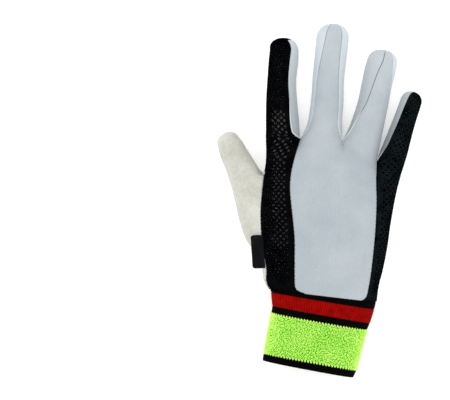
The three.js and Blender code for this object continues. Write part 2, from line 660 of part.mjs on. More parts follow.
// Closed wall of one piece: outer and inner sheets, joined along the piece's edge and drawn back from
// the seams
function pieceGeometry(skin, normals, piece, wall, draw) {
  const faces = skin.faces.filter((face) => face.piece === piece);
  const edges = new Map();
  for (const { corners } of faces) {
    corners.forEach((a, i) => {
      const b = corners[(i + 1) % corners.length];
      const back = `${b},${a}`;
      if (edges.has(back)) edges.delete(back);
      else edges.set(`${a},${b}`, { a, b, corners });
    });
  }
  const inward = new Map();
  for (const { a, b, corners } of edges.values()) {
    const pointA = new THREE.Vector3(...skin.points[a]);
    const along = new THREE.Vector3(...skin.points[b]).sub(pointA).normalize();
    const centre = new THREE.Vector3();
    for (const index of corners) centre.add(new THREE.Vector3(...skin.points[index]));
    const toCentre = centre.divideScalar(corners.length).sub(pointA);
    const direction = toCentre.sub(along.clone().multiplyScalar(toCentre.dot(along))).normalize();
    for (const index of [a, b]) {
      if (!inward.has(index)) inward.set(index, []);
      inward.get(index).push(direction);
    }
  }
  const used = [...new Set(faces.flatMap((face) => face.corners))];
  const slot = new Map(used.map((index, i) => [index, i]));
  const outer = [];
  const inner = [];
  for (const index of used) {
    const point = new THREE.Vector3(...skin.points[index]);
    const directions = inward.get(index);
    if (directions) {
      const shift = directions.reduce((sum, d) => sum.add(d), new THREE.Vector3());
      const strength = Math.max(LEAST_DRAW_STRENGTH, shift.length() / directions.length);
      point.add(shift.normalize().multiplyScalar(draw / strength));
    }
    outer.push(point);
    inner.push(point.clone().addScaledVector(normals[index], -wall));
  }
  const positions = [...outer, ...inner].flatMap((point) => point.toArray());
  const indices = [];
  const innerStart = used.length;
  for (const { corners } of faces) {
    const ring = corners.map((index) => slot.get(index));
    for (let i = 1; i + 1 < ring.length; i += 1) {
      indices.push(ring[0], ring[i], ring[i + 1]);
      indices.push(innerStart + ring[0], innerStart + ring[i + 1], innerStart + ring[i]);
    }
  }
  for (const { a, b } of edges.values()) {
    const low = slot.get(a);
    const high = slot.get(b);
    indices.push(high, low, innerStart + low, high, innerStart + low, innerStart + high);
  }
  const geometry = new THREE.BufferGeometry();
  geometry.setAttribute('position', new THREE.Float32BufferAttribute(positions, 3));
  geometry.setIndex(indices);
  geometry.computeVertexNormals();
  return geometry;
}

// The matt finish of a piece
function cloth({ color, roughness }) {
  return new THREE.MeshStandardMaterial({ color, roughness, metalness: 0 });
}

// The label's folded section, drawn outward from its sewn edge and pushed along the seam
function labelMesh() {
  const { width, thick, slit } = LABEL;
  const radius = thick / 2;
  const leaf = (thick - slit) / 2;
  const section = new THREE.Shape();
  section.moveTo(0, 0);
  section.lineTo(width - radius, 0);
  section.absarc(width - radius, radius, radius, -Math.PI / 2, Math.PI / 2, false);
  section.lineTo(0, thick);
  section.lineTo(0, thick - leaf);
  section.lineTo(width - radius, thick - leaf);
  section.absarc(width - radius, radius, slit / 2, Math.PI / 2, -Math.PI / 2, true);
  section.lineTo(0, leaf);
  section.closePath();
  const low = new THREE.Vector3(...LABEL.low);
  const along = new THREE.Vector3(...LABEL.high).sub(low);
  const depth = along.length();
  along.normalize();
  const outward = new THREE.Vector3(-Math.cos(LABEL.droop * DEGREE), 0, -Math.sin(LABEL.droop * DEGREE));
  outward.addScaledVector(along, -outward.dot(along)).normalize();
  const up = along.clone().cross(outward);
  const lengthwise = { depth, steps: LABEL.steps, curveSegments: LABEL.curveSegments, bevelEnabled: false };
  const geometry = new THREE.ExtrudeGeometry(section, lengthwise);
  geometry.deleteAttribute('normal');
  geometry.deleteAttribute('uv');
  const mesh = new THREE.Mesh(mergeVertices(geometry, MERGE_REACH), cloth(LABEL));
  mesh.name = 'side_label';
  mesh.quaternion.setFromRotationMatrix(new THREE.Matrix4().makeBasis(outward, up, along));
  mesh.position.copy(low);
  return mesh;
}

const glove = new THREE.Group();
glove.position.set(-OUTLINE_CENTRE.x, -OUTLINE_CENTRE.y, 0);
const skin = buildSkin();
const normals = skinNormals(skin);
for (const [name, finish] of Object.entries(FINISHES)) {
  const geometry = pieceGeometry(skin, normals, name, finish.wall, finish.draw ?? SEAM_DRAW);
  const mesh = new THREE.Mesh(geometry, cloth(finish));
  mesh.name = name;
  glove.add(mesh);
}
glove.add(labelMesh());

export default glove;
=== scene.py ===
import math
import random

import bpy
import numpy as np
from mathutils import Matrix, Vector


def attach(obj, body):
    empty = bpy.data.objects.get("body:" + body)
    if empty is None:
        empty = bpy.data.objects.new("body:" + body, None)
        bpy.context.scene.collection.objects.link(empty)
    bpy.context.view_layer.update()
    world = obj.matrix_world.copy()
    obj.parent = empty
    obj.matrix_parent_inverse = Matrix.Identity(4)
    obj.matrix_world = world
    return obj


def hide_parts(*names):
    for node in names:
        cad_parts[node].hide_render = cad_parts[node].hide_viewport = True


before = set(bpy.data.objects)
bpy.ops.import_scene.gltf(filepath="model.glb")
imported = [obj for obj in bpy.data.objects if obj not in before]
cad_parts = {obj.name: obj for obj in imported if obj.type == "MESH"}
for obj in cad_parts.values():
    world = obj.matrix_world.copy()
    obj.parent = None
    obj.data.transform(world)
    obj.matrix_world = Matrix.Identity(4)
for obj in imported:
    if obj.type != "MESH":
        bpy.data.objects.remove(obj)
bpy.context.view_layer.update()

# Right-hand inner glove, lying palm down. The tables are the glove's own, in millimetres;
# every mesh is made in metres. +X runs from the thumb to the little finger, +Y to the fingertips.
MM = 0.001
SHIFT = (1.13, -0.1, 0.0)

# Walls and seams
LEATHER_WALL = 1.2
KNIT_WALL = 1.1
MESH_WALL = 0.7
CUFF_WALL = 2.4
FLAT_SINK = 1.8
BODY_SINK = 2.4
FLOOR_ROUNDING = 1.4

# Rows and columns of the skin
BACK_COLUMNS = 12
PALM_COLUMNS = 8
SIDE_COLUMNS = 6
FINGER_COUNT = 4
HAND_STEPS = 50
EXTRA_ROWS = 1
LINE_TURNS = 6
LOWEST_OPEN_ROW = 4
ROW_LENGTH = 2.05
TIP_ANGLES = (10, 19, 28, 36, 44, 52, 59, 66, 72, 79, 85)
TIP_SQUARENESS = 2.2
CROTCH_SQUARENESS = 4.2
CROTCH_REACH = 14
FINGER_SQUARENESS = 2.3
BODY_SQUARENESS = 2.5
ROUND = 2
FORK_DIP = 0.3

# Each finger: its tip, the angle of the tip at which its side pieces end, and rows of y, x, half width,
# half thickness, turn, and the angles of the seams backLeft, backRight, palmRight and palmLeft
FINGERS = (
    {
        "tip": (-26.4, 112.6), "side_end": 52,
        "rows": (
            (42.7, -26.2, 11.8, 11.4, 0, -105, 80, 118, -105),
            (45.4, -26.2, 11.8, 11.3, 0, -105, 41, 115, -105),
            (48.6, -26.2, 11.7, 11.2, 0, -105, 31, 112, -105),
            (56.9, -26.5, 11.5, 10.8, 0, -105, 27, 110, -105),
            (69.3, -27.0, 10.8, 10.3, 0, -105, 29, 110, -105),
            (83.1, -26.9, 10.1, 9.8, 0, -105, 26, 110, -105),
            (96.9, -25.6, 10.4, 9.3, 0, -105, 24, 110, -105),
            (104.5, -25.2, 10.0, 8.7, 2, -105, 29, 108, -105),
        ),
    },
    {
        "tip": (9.6, 122.4), "side_end": 72,
        "rows": (
            (41.7, 0.2, 14.6, 11.4, -4, -80, 80, 118, -118),
            (49.3, 2.1, 12.8, 11.2, 0, -62, 52, 112, -112),
            (56.9, 3.3, 11.8, 10.9, 3, -55, 46, 110, -110),
            (69.3, 4.6, 11.3, 10.4, -5, -52, 42, 110, -110),
            (83.8, 5.3, 11.0, 9.9, -5, -47, 39, 110, -110),
            (98.9, 6.9, 11.2, 9.5, -5, -37, 34, 110, -110),
            (112.1, 8.3, 11.4, 8.9, -5, -27, 33, 108, -108),
        ),
    },
    {
        "tip": (44.9, 104.2), "side_end": 72,
        "rows": (
            (33.9, 26.8, 13.7, 11.4, -29, -80, 80, 118, -118),
            (44.4, 30.1, 12.1, 11.0, -19, -60, 80, 112, -112),
            (54.8, 33.0, 11.3, 10.6, -14, -46, 78, 110, -110),
            (66.5, 36.1, 10.7, 10.1, -13, -28, 75, 110, -110),
            (78.9, 38.6, 10.6, 9.6, -13, -16, 68, 110, -110),
            (89.3, 41.0, 10.9, 9.2, -13, -8, 52, 110, -110),
            (95.8, 42.6, 10.6, 8.7, -13, 0, 42, 108, -108),
        ),
    },
    {
        "tip": (65.2, 75.1), "side_end": 72,
        "rows": (
            (26.9, 48.6, 9.8, 10.8, -3, -78, 105, 105, -118),
            (35.5, 51.5, 9.2, 10.0, -13, -46, 105, 105, -112),
            (43.1, 54.0, 8.6, 9.4, -18, -40, 105, 105, -110),
            (50.6, 56.5, 8.1, 8.9, -20, -35, 105, 105, -110),
            (58.9, 59.3, 7.7, 8.4, -21, -32, 105, 105, -110),
            (65.1, 61.5, 7.6, 8.0, -21, -29, 105, 105, -110),
            (68.2, 62.5, 7.5, 7.6, -21, -26, 105, 105, -110),
        ),
    },
)

# Lines that run up the hand, as y and x
MESH_EDGE = (
    (-61.5, -35.3), (-58.0, -37.2), (-54.0, -38.1), (-48.0, -37.8), (-41.0, -38.9), (-23.9, -41.0),
    (-6.6, -41.5), (6.5, -40.5), (15.5, -39.6), (24.4, -38.3), (42.7, -38.0),
)
PANEL_LEFT = (
    (-64.0, -11.6), (-62.8, -15.0), (-61.4, -17.6), (-59.2, -18.6), (-42.5, -18.8), (-27.3, -18.8),
    (-14.9, -19.8), (6.5, -21.9), (16.8, -21.4), (27.2, -19.3), (42.8, -14.4),
)
MIDDLE_RING = ((-65.3, 6.9), (-27.3, 8.3), (7.2, 11.0), (40.6, 14.8))
PANEL_RIGHT = (
    (-69.0, 27.4), (-66.8, 30.6), (-60.4, 32.4), (-48.0, 34.4), (-22.1, 37.0), (-1.4, 38.0), (14.1, 37.8),
    (27.3, 38.8),
)
OUTER_EDGE = (
    (-70.0, 38.4), (-58.4, 40.0), (-48.0, 42.7), (-32.2, 45.8), (-14.9, 48.3), (7.2, 52.6), (26.5, 58.4),
)
HAND_LINES = (MESH_EDGE, PANEL_LEFT, MIDDLE_RING, PANEL_RIGHT, OUTER_EDGE)

# Forks between the fingers as x and y; row of the hand, half thickness and angle of the thumb-side seam
FORKS = ((-38.0, 42.7), (-14.4, 42.7), (14.8, 40.6), (38.8, 27.2), (58.4, 26.5))
HAND_SHAPE = (
    (0, 17.0, -76), (0.05, 16.95, -71), (0.12, 16.9, -66), (0.24, 17.0, -65), (0.4, 17.0, -61),
    (0.55, 16.6, -60), (0.7, 16.0, -64), (0.76, 15.6, -70), (0.83, 15.0, -98), (0.9, 14.2, -105),
    (1, 13.2, -105),
)
OUTER_SEAM = 105
PALM_HOLLOW = {"x": 8, "y": -12, "half_x": 25, "half_y": 33, "depth": 2.4}
KNUCKLE_START = 0.76
BACK_VALLEY = 2.4

# The thumb: rows between which it is set in, and stations as number, fork x and y, outer x and y,
# half thickness
OPENING_ROWS = (12, 38)
CORNER_SHARE = 0.2
THUMB = (
    (0, -40.5, 16.0, -48.0, -38.6, 12.2), (1, -42.2, 20.3, -56.0, -28.9, 12.1),
    (2, -44.2, 24.4, -57.0, -12.8, 11.8), (3, -47.3, 29.6, -60.3, 3.0, 11.3),
    (4, -51.1, 35.5, -64.9, 18.9, 10.6), (5, -54.2, 41.0, -69.4, 30.2, 9.8),
    (6, -56.8, 44.2, -71.1, 37.1, 9.0),
)
THUMB_LAST = 6
THUMB_STATION = 12.5
THUMB_TIP_LENGTH = 6.6
THUMB_STEPS = 24
THUMB_FIRST_STATION = 0.9
THUMB_BLEND_END = 2.2

# The cuff: lines across it as left x and y, right x and y, half thickness
CUFF_START = (-35.3, -61.3, 38.2, -70.0, 17.0)
CUFF_LINES = {
    "cuff_top_trim": (-34.8, -63.1, 37.0, -74.9, 17.2),
    "cuff_red_band": (-33.9, -72.8, 33.9, -84.7, 17.2),
    "cuff_middle_trim": (-34.6, -78.0, 31.6, -89.8, 17.1),
    "cuff_green_band": (-39.3, -104.9, 24.6, -116.4, 16.6),
    "cuff_bottom_hem": (-40.4, -110.7, 22.0, -122.4, 16.5),
}

# Soft creases as start x, y, end x, y, width and depth; a negative depth is a raised fold
BACK_CREASES = (
    (-60.0, -15.0, -44.0, -8.0, 3.0, 0.5),
    (-61.0, -7.0, -45.0, -1.0, 2.6, 0.35),
    (-64.0, 6.0, -52.0, 8.0, 2.6, 0.3),
    (-58.0, 30.0, -66.0, 24.0, 2.2, 0.35),
    (-14.0, 30.0, 12.0, 22.0, 7.0, 0.35),
    (4.0, 34.0, 26.0, 20.0, 5.0, 0.3),
    (18.0, 30.0, 34.0, 10.0, 6.0, 0.3),
    (-16.0, -40.0, 10.0, -48.0, 8.0, 0.3),
    (8.0, -52.0, 28.0, -46.0, 7.0, 0.3),
)
PALM_CREASES = (
    (-10.0, 36.0, 14.0, 38.0, 3.0, 0.6),
    (-30.0, 34.0, -14.0, 30.0, 3.0, 0.4),
    (14.0, 34.0, 40.0, 18.0, 4.0, 0.7),
    (40.0, 20.0, 26.0, -4.0, 4.0, 0.5),
    (-24.0, 20.0, 2.0, -30.0, 5.0, 0.6),
    (-24.0, -52.0, 6.0, -60.0, 4.0, 0.6),
    (0.0, -50.0, 30.0, -58.0, 4.0, 0.5),
)

# Knit stretched over the valleys below the crotches, as start x, y, end x, y, width and height
WEBS = (
    (14.9, 41.5, 12.5, 26.0, 8.0, 1.2), (14.9, 42.0, 14.4, 34.0, 3.0, 0.7),
    (38.8, 29.0, 37.0, 14.0, 8.0, 1.0), (-14.4, 43.5, -16.0, 28.0, 8.0, 0.8),
)

# The bow of a crease, the fold that stands up beside it, and how the webs begin and fade, as shares
CREASE_BOW = 0.06
CREASE_FADE = 0.7
FOLD_RISE = 0.45
FOLD_PLACE = 0.9
FOLD_NARROW = 1.8
WEB_START = 0.12
WEB_FADE = 1.5

DEGREE = math.pi / 180


def mix(a, b, share):
    return a + (b - a) * share


def smooth(value):
    clamped = min(1.0, max(0.0, value))
    return clamped * clamped * (3 - 2 * clamped)


def unit(vector):
    return vector / np.linalg.norm(vector)


def run_lengths(points):
    """Length along a run of points up to each of them."""
    return np.concatenate([[0], np.cumsum(np.linalg.norm(np.diff(points, axis=0), axis=1))])


def read_run(at, lengths, table):
    """Point or normal of a run at a length along it, or at many lengths."""
    return np.stack([np.interp(at, lengths, table[:, axis]) for axis in range(3)], axis=-1)


def read_table(rows, at, column):
    """Smooth curve through one column of a table, read against its first column."""
    last = len(rows) - 1
    if at <= rows[0][0]:
        return rows[0][column]
    if at >= rows[last][0]:
        return rows[last][column]
    i = 0
    while at > rows[i + 1][0]:
        i += 1

    def slope(j):
        before = max(0, j - 1)
        after = min(last, j + 1)
        return (rows[after][column] - rows[before][column]) / (rows[after][0] - rows[before][0])

    width = rows[i + 1][0] - rows[i][0]
    s = (at - rows[i][0]) / width
    s2 = s * s
    s3 = s2 * s
    start = (2 * s3 - 3 * s2 + 1) * rows[i][column] + (s3 - 2 * s2 + s) * width * slope(i)
    end = (3 * s2 - 2 * s3) * rows[i + 1][column] + (s3 - s2) * width * slope(i + 1)
    return start + end


def square_off(value, squareness):
    """A sine or cosine of a round section, drawn out to a squarer one; ROUND leaves it as it is."""
    return math.copysign(abs(value) ** (2 / squareness), value)


def oval_sine(angle, squareness):
    return square_off(math.sin(angle * DEGREE), squareness)


def oval_cosine(angle, squareness):
    return square_off(math.cos(angle * DEGREE), squareness)


def press_flat(z):
    """What would hang below the floor is pressed flat."""
    if z <= -FLOOR_ROUNDING:
        return 0.0
    if z >= FLOOR_ROUNDING:
        return z
    return (z + FLOOR_ROUNDING) ** 2 / (4 * FLOOR_ROUNDING)


def spread(start, end, count):
    return [mix(start, end, i / count) for i in range(count)]


def finger_angles(seams):
    """Angles of a finger's columns: back, side, palm, side."""
    back_left, back_right, palm_right, palm_left = seams
    angles = spread(back_left, back_right, BACK_COLUMNS)
    if palm_right > back_right + 1:
        angles += spread(back_right, palm_right, SIDE_COLUMNS)
    angles += spread(palm_right, 360 + palm_left, PALM_COLUMNS)
    if palm_left < back_left - 1:
        angles += spread(360 + palm_left, 360 + back_left, SIDE_COLUMNS)
    return angles


def finger_point(section, angle, root_share, scale):
    """A point of a finger's section: round on the back, squarer on the palm side and most so at the root."""
    y, x, half, thick, turn = section[:5]
    lower = math.cos(angle * DEGREE) < 0
    squareness = mix(FINGER_SQUARENESS, CROTCH_SQUARENESS, root_share) if lower else ROUND
    across = half * scale * oval_sine(angle, squareness)
    height = thick * scale * oval_cosine(angle, squareness)
    return (
        x + across * math.cos(turn * DEGREE),
        y + across * math.sin(turn * DEGREE),
        press_flat(thick - FLAT_SINK + height),
    )


def finger_loops(finger):
    """Loops of one finger from its root to its tip, how far along each lies, and which still have sides."""
    rows = finger["rows"]
    first = rows[0]
    shoulder = rows[-1]
    steps = round((shoulder[0] - first[0]) / ROW_LENGTH)
    loops = []
    for step in range(steps + 1):
        y = mix(first[0], shoulder[0], step / steps)
        section = [y] + [read_table(rows, y, column) for column in range(1, 9)]
        root_share = 1 - smooth((y - first[0]) / CROTCH_REACH)
        loop = [finger_point(section, angle, root_share, 1) for angle in finger_angles(section[5:])]
        loops.append({"points": loop, "along": y - first[0], "sides": True})
    tip_x, tip_y = finger["tip"]
    for tip_angle in TIP_ANGLES:
        advance = oval_sine(tip_angle, TIP_SQUARENESS)
        section = list(shoulder)
        section[0] = mix(shoulder[0], tip_y, advance)
        section[1] = mix(shoulder[1], tip_x, advance)
        scale = oval_cosine(tip_angle, TIP_SQUARENESS)
        loop = [finger_point(section, angle, 0, scale) for angle in finger_angles(section[5:])]
        along = shoulder[0] - first[0] + tip_angle * DEGREE * (tip_y - shoulder[0])
        loops.append({"points": loop, "along": along, "sides": tip_angle <= finger["side_end"]})
    return loops, (tip_x, tip_y, shoulder[3] - FLAT_SINK)


def cuff_line_y(x):
    """Height of the wrist line, where the hand meets the cuff."""
    left_x, left_y, right_x, right_y, _ = CUFF_START
    return mix(left_y, right_y, (x - left_x) / (right_x - left_x))


def fork_line_y(x, sharp):
    """Height of the line through the forks: a smooth curve, or straight from fork to fork if it is sharp."""
    bent = read_table(FORKS, x, 1)
    i = 0
    while i < len(FORKS) - 2 and x > FORKS[i + 1][0]:
        i += 1
    share = min(1, max(0, (x - FORKS[i][0]) / (FORKS[i + 1][0] - FORKS[i][0])))
    return mix(bent, mix(FORKS[i][1], FORKS[i + 1][1], share), sharp)


def knuckle_share(row):
    """How far the rows of the hand have turned into the fingers' own sections."""
    return smooth((row - KNUCKLE_START) / (1 - KNUCKLE_START))


def row_y(row, x):
    return mix(cuff_line_y(x), fork_line_y(x, knuckle_share(row)), row)


def line_x(line, row):
    """Where a line that runs up the hand crosses a row, found by turns because rows are bent."""
    x = read_table(line, 0, 1)
    for _ in range(LINE_TURNS):
        x = read_table(line, row_y(row, x), 1)
    return x


def hand_section(row):
    """One row of the hand: its lines, its half width and centre, and the angles of its columns."""
    seam = read_table(HAND_SHAPE, row, 2)
    lines = [line_x(line, row) for line in HAND_LINES]
    reach = -oval_sine(seam, BODY_SQUARENESS) if seam > -90 else 1
    half = (lines[4] - lines[0]) / (1 + reach)
    centre = lines[4] - half

    def seam_angle(x):
        share = (x - centre) / half
        return math.asin(math.copysign(abs(share) ** (BODY_SQUARENESS / 2), share)) / DEGREE

    back = [seam] + [seam_angle(x) for x in lines[1:4]] + [OUTER_SEAM]
    palm = [360 + seam] + [180 - angle for angle in back[1:4]] + [OUTER_SEAM]
    return {
        "row": row, "thick": read_table(HAND_SHAPE, row, 1), "lines": lines, "half": half,
        "centre": centre, "back": back, "palm": palm,
    }


def body_angles(section):
    """Angles of the columns round the hand or the cuff: back, then palm from the outer side."""
    angles = []
    for f in range(FINGER_COUNT):
        angles += spread(section["back"][f], section["back"][f + 1], BACK_COLUMNS)
    for f in reversed(range(FINGER_COUNT)):
        angles += spread(section["palm"][f + 1], section["palm"][f], PALM_COLUMNS)
    return angles


def palm_hollow(x, y):
    across = (x - PALM_HOLLOW["x"]) / PALM_HOLLOW["half_x"]
    along = (y - PALM_HOLLOW["y"]) / PALM_HOLLOW["half_y"]
    reach = across ** 2 + along ** 2
    return PALM_HOLLOW["depth"] * (1 - reach) ** 2 if reach < 1 else 0


def hand_point(section, angle):
    x = section["centre"] + section["half"] * oval_sine(angle, BODY_SQUARENESS)
    y = row_y(section["row"], x)
    z = section["thick"] - BODY_SINK + section["thick"] * oval_cosine(angle, BODY_SQUARENESS)
    under = smooth(-math.cos(angle * DEGREE) * 2)
    return (x, y, press_flat(z) + under * palm_hollow(x, y))


def knuckle_point(section, f, angle):
    """The finger's own section carried on into the hand."""
    left, right = section["lines"][f], section["lines"][f + 1]
    squareness = CROTCH_SQUARENESS if math.cos(angle * DEGREE) < 0 else ROUND
    thick = mix(section["thick"], FINGERS[f]["rows"][0][3], knuckle_share(section["row"]))
    x = (left + right) / 2 + (right - left) / 2 * oval_sine(angle, squareness)
    z = press_flat(thick - FLAT_SINK + thick * oval_cosine(angle, squareness))
    return (x, row_y(section["row"], x), z)


def blend_points(a, b, share):
    return tuple(mix(p, q, share) for p, q in zip(a, b))


def hand_loop(row):
    section = hand_section(row)
    share = knuckle_share(row)
    roots = [(f, finger["rows"][0]) for f, finger in enumerate(FINGERS)]
    knuckles = [(f, angle) for f, root in roots for angle in spread(root[5], root[6], BACK_COLUMNS)]
    for f, root in reversed(roots):
        knuckles += [(f, angle) for angle in spread(root[7], 360 + root[8], PALM_COLUMNS)]
    loop = []
    for column, (angle, (f, knuckle_angle)) in enumerate(zip(body_angles(section), knuckles)):
        plain = hand_point(section, angle)
        own = share ** BACK_VALLEY if column < FINGER_COUNT * BACK_COLUMNS else share
        loop.append(blend_points(plain, knuckle_point(section, f, knuckle_angle), own))
    return loop


def cuff_point(line, angle):
    left_x, left_y, right_x, right_y, thick = line
    share = (1 + oval_sine(angle, BODY_SQUARENESS)) / 2
    z = thick - BODY_SINK + thick * oval_cosine(angle, BODY_SQUARENESS)
    return (mix(left_x, right_x, share), mix(left_y, right_y, share), press_flat(z))


class Skin:
    """The whole skin of the glove: points, and faces that carry their piece and their place on the cloth."""

    def __init__(self):
        self.points = []
        self.even = []
        self.faces = []
        self.pieces = []
        self.cloth = []

    def add_loop(self, points, order=None):
        """Adds a loop; where it has an order, every second point is even and may carry a cell of the net."""
        start = len(self.points)
        self.points += points
        self.even += [order is not None and (order + i) % 2 == 0 for i in range(len(points))]
        return list(range(start, len(self.points)))

    def add_face(self, corners, piece, cloth):
        self.faces.append(corners)
        self.pieces.append(piece)
        self.cloth.append(cloth)

    def round_lengths(self, loop):
        return run_lengths(np.array([self.points[i] for i in loop + loop[:1]]))

    def join_loops(self, low, high, name_of, low_at, high_at, start=0.0):
        """Faces between two loops, left open where a column has no piece."""
        low_u = self.round_lengths(low) + start
        high_u = self.round_lengths(high) + start
        for i in range(len(low)):
            if name_of(i):
                after = (i + 1) % len(low)
                low_edge = ((low_u[i], low_at), (low_u[i + 1], low_at))
                high_edge = ((high_u[i + 1], high_at), (high_u[i], high_at))
                self.add_face((low[i], low[after], high[after], high[i]), name_of(i), low_edge + high_edge)

    def close_tip(self, low, pole, name_of, low_at, start=0.0):
        """Faces from the last loop to a point."""
        top = self.add_loop([pole])[0]
        low_u = self.round_lengths(low) + start
        high_at = low_at + np.linalg.norm(np.subtract(self.points[low[0]], pole))
        for i in range(len(low)):
            cloth = ((low_u[i], low_at), (low_u[i + 1], low_at), (low_u[i], high_at))
            self.add_face((low[i], low[(i + 1) % len(low)], top), name_of(i), cloth)


HAND_LENGTH = 105.0
SIDES = ("fourchette_index_middle", "fourchette_middle_ring", "fourchette_ring_little")
BACKS = ("index_mesh_panel", "back_panel", "back_panel", "little_mesh_panel")


def add_hand(skin):
    """The hand from the wrist to the knuckles, left open where the thumb is set in."""
    back_count = FINGER_COUNT * BACK_COLUMNS
    loop_count = back_count + FINGER_COUNT * PALM_COLUMNS
    steps = [0, 0.5] + list(range(1, HAND_STEPS + 1))
    loops = []
    for step in steps:
        order = step if step >= LOWEST_OPEN_ROW else None
        loops.append(skin.add_loop(hand_loop(step / HAND_STEPS), order))
    for r, (step, next_step) in enumerate(zip(steps, steps[1:])):
        opened = OPENING_ROWS[0] <= step < OPENING_ROWS[1]

        def name_of(column):
            if column < back_count:
                return BACKS[column // BACK_COLUMNS]
            return None if opened and column >= loop_count - PALM_COLUMNS else "palm_leather"

        low_at = HAND_LENGTH * step / HAND_STEPS
        high_at = HAND_LENGTH * next_step / HAND_STEPS
        skin.join_loops(loops[r], loops[r + 1], name_of, low_at, high_at)
    return loops


def add_fingers(skin, root_loop):
    """The four fingers, each on its columns of the hand's last loop and on the forks beside it."""
    back_count = FINGER_COUNT * BACK_COLUMNS
    root_lengths = skin.round_lengths(root_loop)
    fork_middles = []
    for f, finger in enumerate(FINGERS):
        loops, pole = finger_loops(finger)
        back_start = f * BACK_COLUMNS
        back_end = back_start + BACK_COLUMNS
        palm_start = back_count + (FINGER_COUNT - 1 - f) * PALM_COLUMNS
        palm_end = palm_start + PALM_COLUMNS
        columns = root_loop[back_start:back_end]
        pieces = [BACKS[f]] * BACK_COLUMNS
        if f < FINGER_COUNT - 1:
            top = skin.points[root_loop[back_end]]
            bottom = skin.points[root_loop[palm_start]]
            middles = []
            for i in range(1, SIDE_COLUMNS):
                share = i / SIDE_COLUMNS
                x, y, z = blend_points(top, bottom, share)
                middles.append((x, y - FORK_DIP * 4 * share * (1 - share), z))
            fork_middles.append(skin.add_loop(middles))
            columns = columns + [root_loop[back_end]] + fork_middles[f]
            pieces = pieces + [SIDES[f]] * SIDE_COLUMNS
        columns = columns + root_loop[palm_start:palm_end]
        pieces = pieces + ["palm_leather"] * PALM_COLUMNS
        if f > 0:
            columns = columns + [root_loop[palm_end]] + fork_middles[f - 1][::-1]
            pieces = pieces + [SIDES[f - 1]] * SIDE_COLUMNS
        past_sides = "index_mesh_panel" if f == 0 else "palm_leather"
        beyond = [past_sides if piece in SIDES else piece for piece in pieces]
        low, low_at = columns, HAND_LENGTH
        for r, loop in enumerate(loops[1:]):
            high = skin.add_loop(loop["points"], HAND_STEPS + r + 1)
            names = pieces if loop["sides"] else beyond
            high_at = HAND_LENGTH + loop["along"]
            skin.join_loops(low, high, names.__getitem__, low_at, high_at, root_lengths[back_start])
            low, low_at = high, high_at
        skin.close_tip(low, pole, beyond.__getitem__, low_at, root_lengths[back_start])


def thumb_point(station, angle, scale, advance):
    """A point of the thumb: across from its fork side to its outer side, and past its end by an advance."""
    fork_x, fork_y, out_x, out_y, thick = (read_table(THUMB, station, column) for column in range(1, 6))
    width = math.hypot(fork_x - out_x, fork_y - out_y)
    across = ((fork_x - out_x) / width, (fork_y - out_y) / width)
    reach = width / 2 * scale * oval_sine(angle, ROUND)
    return (
        (fork_x + out_x) / 2 + reach * across[0] - advance * across[1],
        (fork_y + out_y) / 2 + reach * across[1] + advance * across[0],
        press_flat(thick - FLAT_SINK + thick * scale * oval_cosine(angle, FINGER_SQUARENESS)),
    )


def thumb_ring(skin, hand_loops):
    """Points round the opening that the thumb is sewn into, and their angles round the thumb."""
    bottom, top = (row + EXTRA_ROWS for row in OPENING_ROWS)
    rows = top - bottom
    count = len(hand_loops[0])
    inner = count - PALM_COLUMNS
    ring = [hand_loops[bottom + i][0] for i in range(rows)]
    ring += [hand_loops[top][(count - i) % count] for i in range(PALM_COLUMNS)]
    ring += [hand_loops[top - i][inner] for i in range(rows)]
    ring += [hand_loops[bottom][inner + i] for i in range(PALM_COLUMNS)]
    angles = spread(-45, 45, rows) + spread(45, 135, PALM_COLUMNS)
    angles += spread(135, 225, rows) + spread(225, 315, PALM_COLUMNS)
    corners = {rows + PALM_COLUMNS, 2 * rows + PALM_COLUMNS}
    centre = np.mean([skin.points[i] for i in ring], axis=0)
    row_reach = rows / 6
    column_reach = PALM_COLUMNS / 4
    for place, index in enumerate(ring):
        for corner in corners:
            gap = place - corner
            along_rows = (gap > 0) == (corner == rows + PALM_COLUMNS)
            pull = 1 - abs(gap) / (row_reach if along_rows else column_reach)
            if pull > 0:
                point = skin.points[index]
                rounded = blend_points(point, centre, CORNER_SHARE * pull)
                skin.points[index] = (rounded[0], rounded[1], point[2])
    return ring, angles


def add_thumb(skin, hand_loops):
    """The thumb, from the opening in the hand to its tip."""
    ring, angles = thumb_ring(skin, hand_loops)
    start = [skin.points[index] for index in ring]

    def blended(station):
        share = smooth(station / THUMB_BLEND_END)
        own = [thumb_point(station, angle, 1, 0) for angle in angles]
        return [blend_points(a, b, share) for a, b in zip(start, own)]

    first = blended(THUMB_FIRST_STATION)
    loops = []
    for step in range(1, THUMB_STEPS + 1):
        station = THUMB_LAST * step / THUMB_STEPS
        points = blended(station)
        if station < THUMB_FIRST_STATION:
            points = [blend_points(a, b, station / THUMB_FIRST_STATION) for a, b in zip(start, first)]
        loops.append((points, THUMB_STATION * station))
    for tip_angle in TIP_ANGLES:
        advance = THUMB_TIP_LENGTH * oval_sine(tip_angle, TIP_SQUARENESS)
        scale = oval_cosine(tip_angle, TIP_SQUARENESS)
        points = [thumb_point(THUMB_LAST, angle, scale, advance) for angle in angles]
        loops.append((points, THUMB_STATION * THUMB_LAST + THUMB_TIP_LENGTH * tip_angle * DEGREE))
    low, low_at = ring, 0.0
    for points, high_at in loops:
        high = skin.add_loop(points)
        skin.join_loops(low, high, lambda i: "thumb_leather", low_at, high_at)
        low, low_at = high, high_at
    pole = thumb_point(THUMB_LAST, 0, 0, THUMB_TIP_LENGTH)
    skin.close_tip(low, pole, lambda i: "thumb_leather", low_at)


def beside_line(points, x0, y0, x1, y1):
    """Each point's place along a line, from 0 to 1, its distance beside it, and the line's length."""
    along = np.array((x1 - x0, y1 - y0))
    length = np.linalg.norm(along)
    offset = points[:, :2] - (x0, y0)
    return offset @ along / length ** 2, offset @ (-along[1], along[0]) / length, length


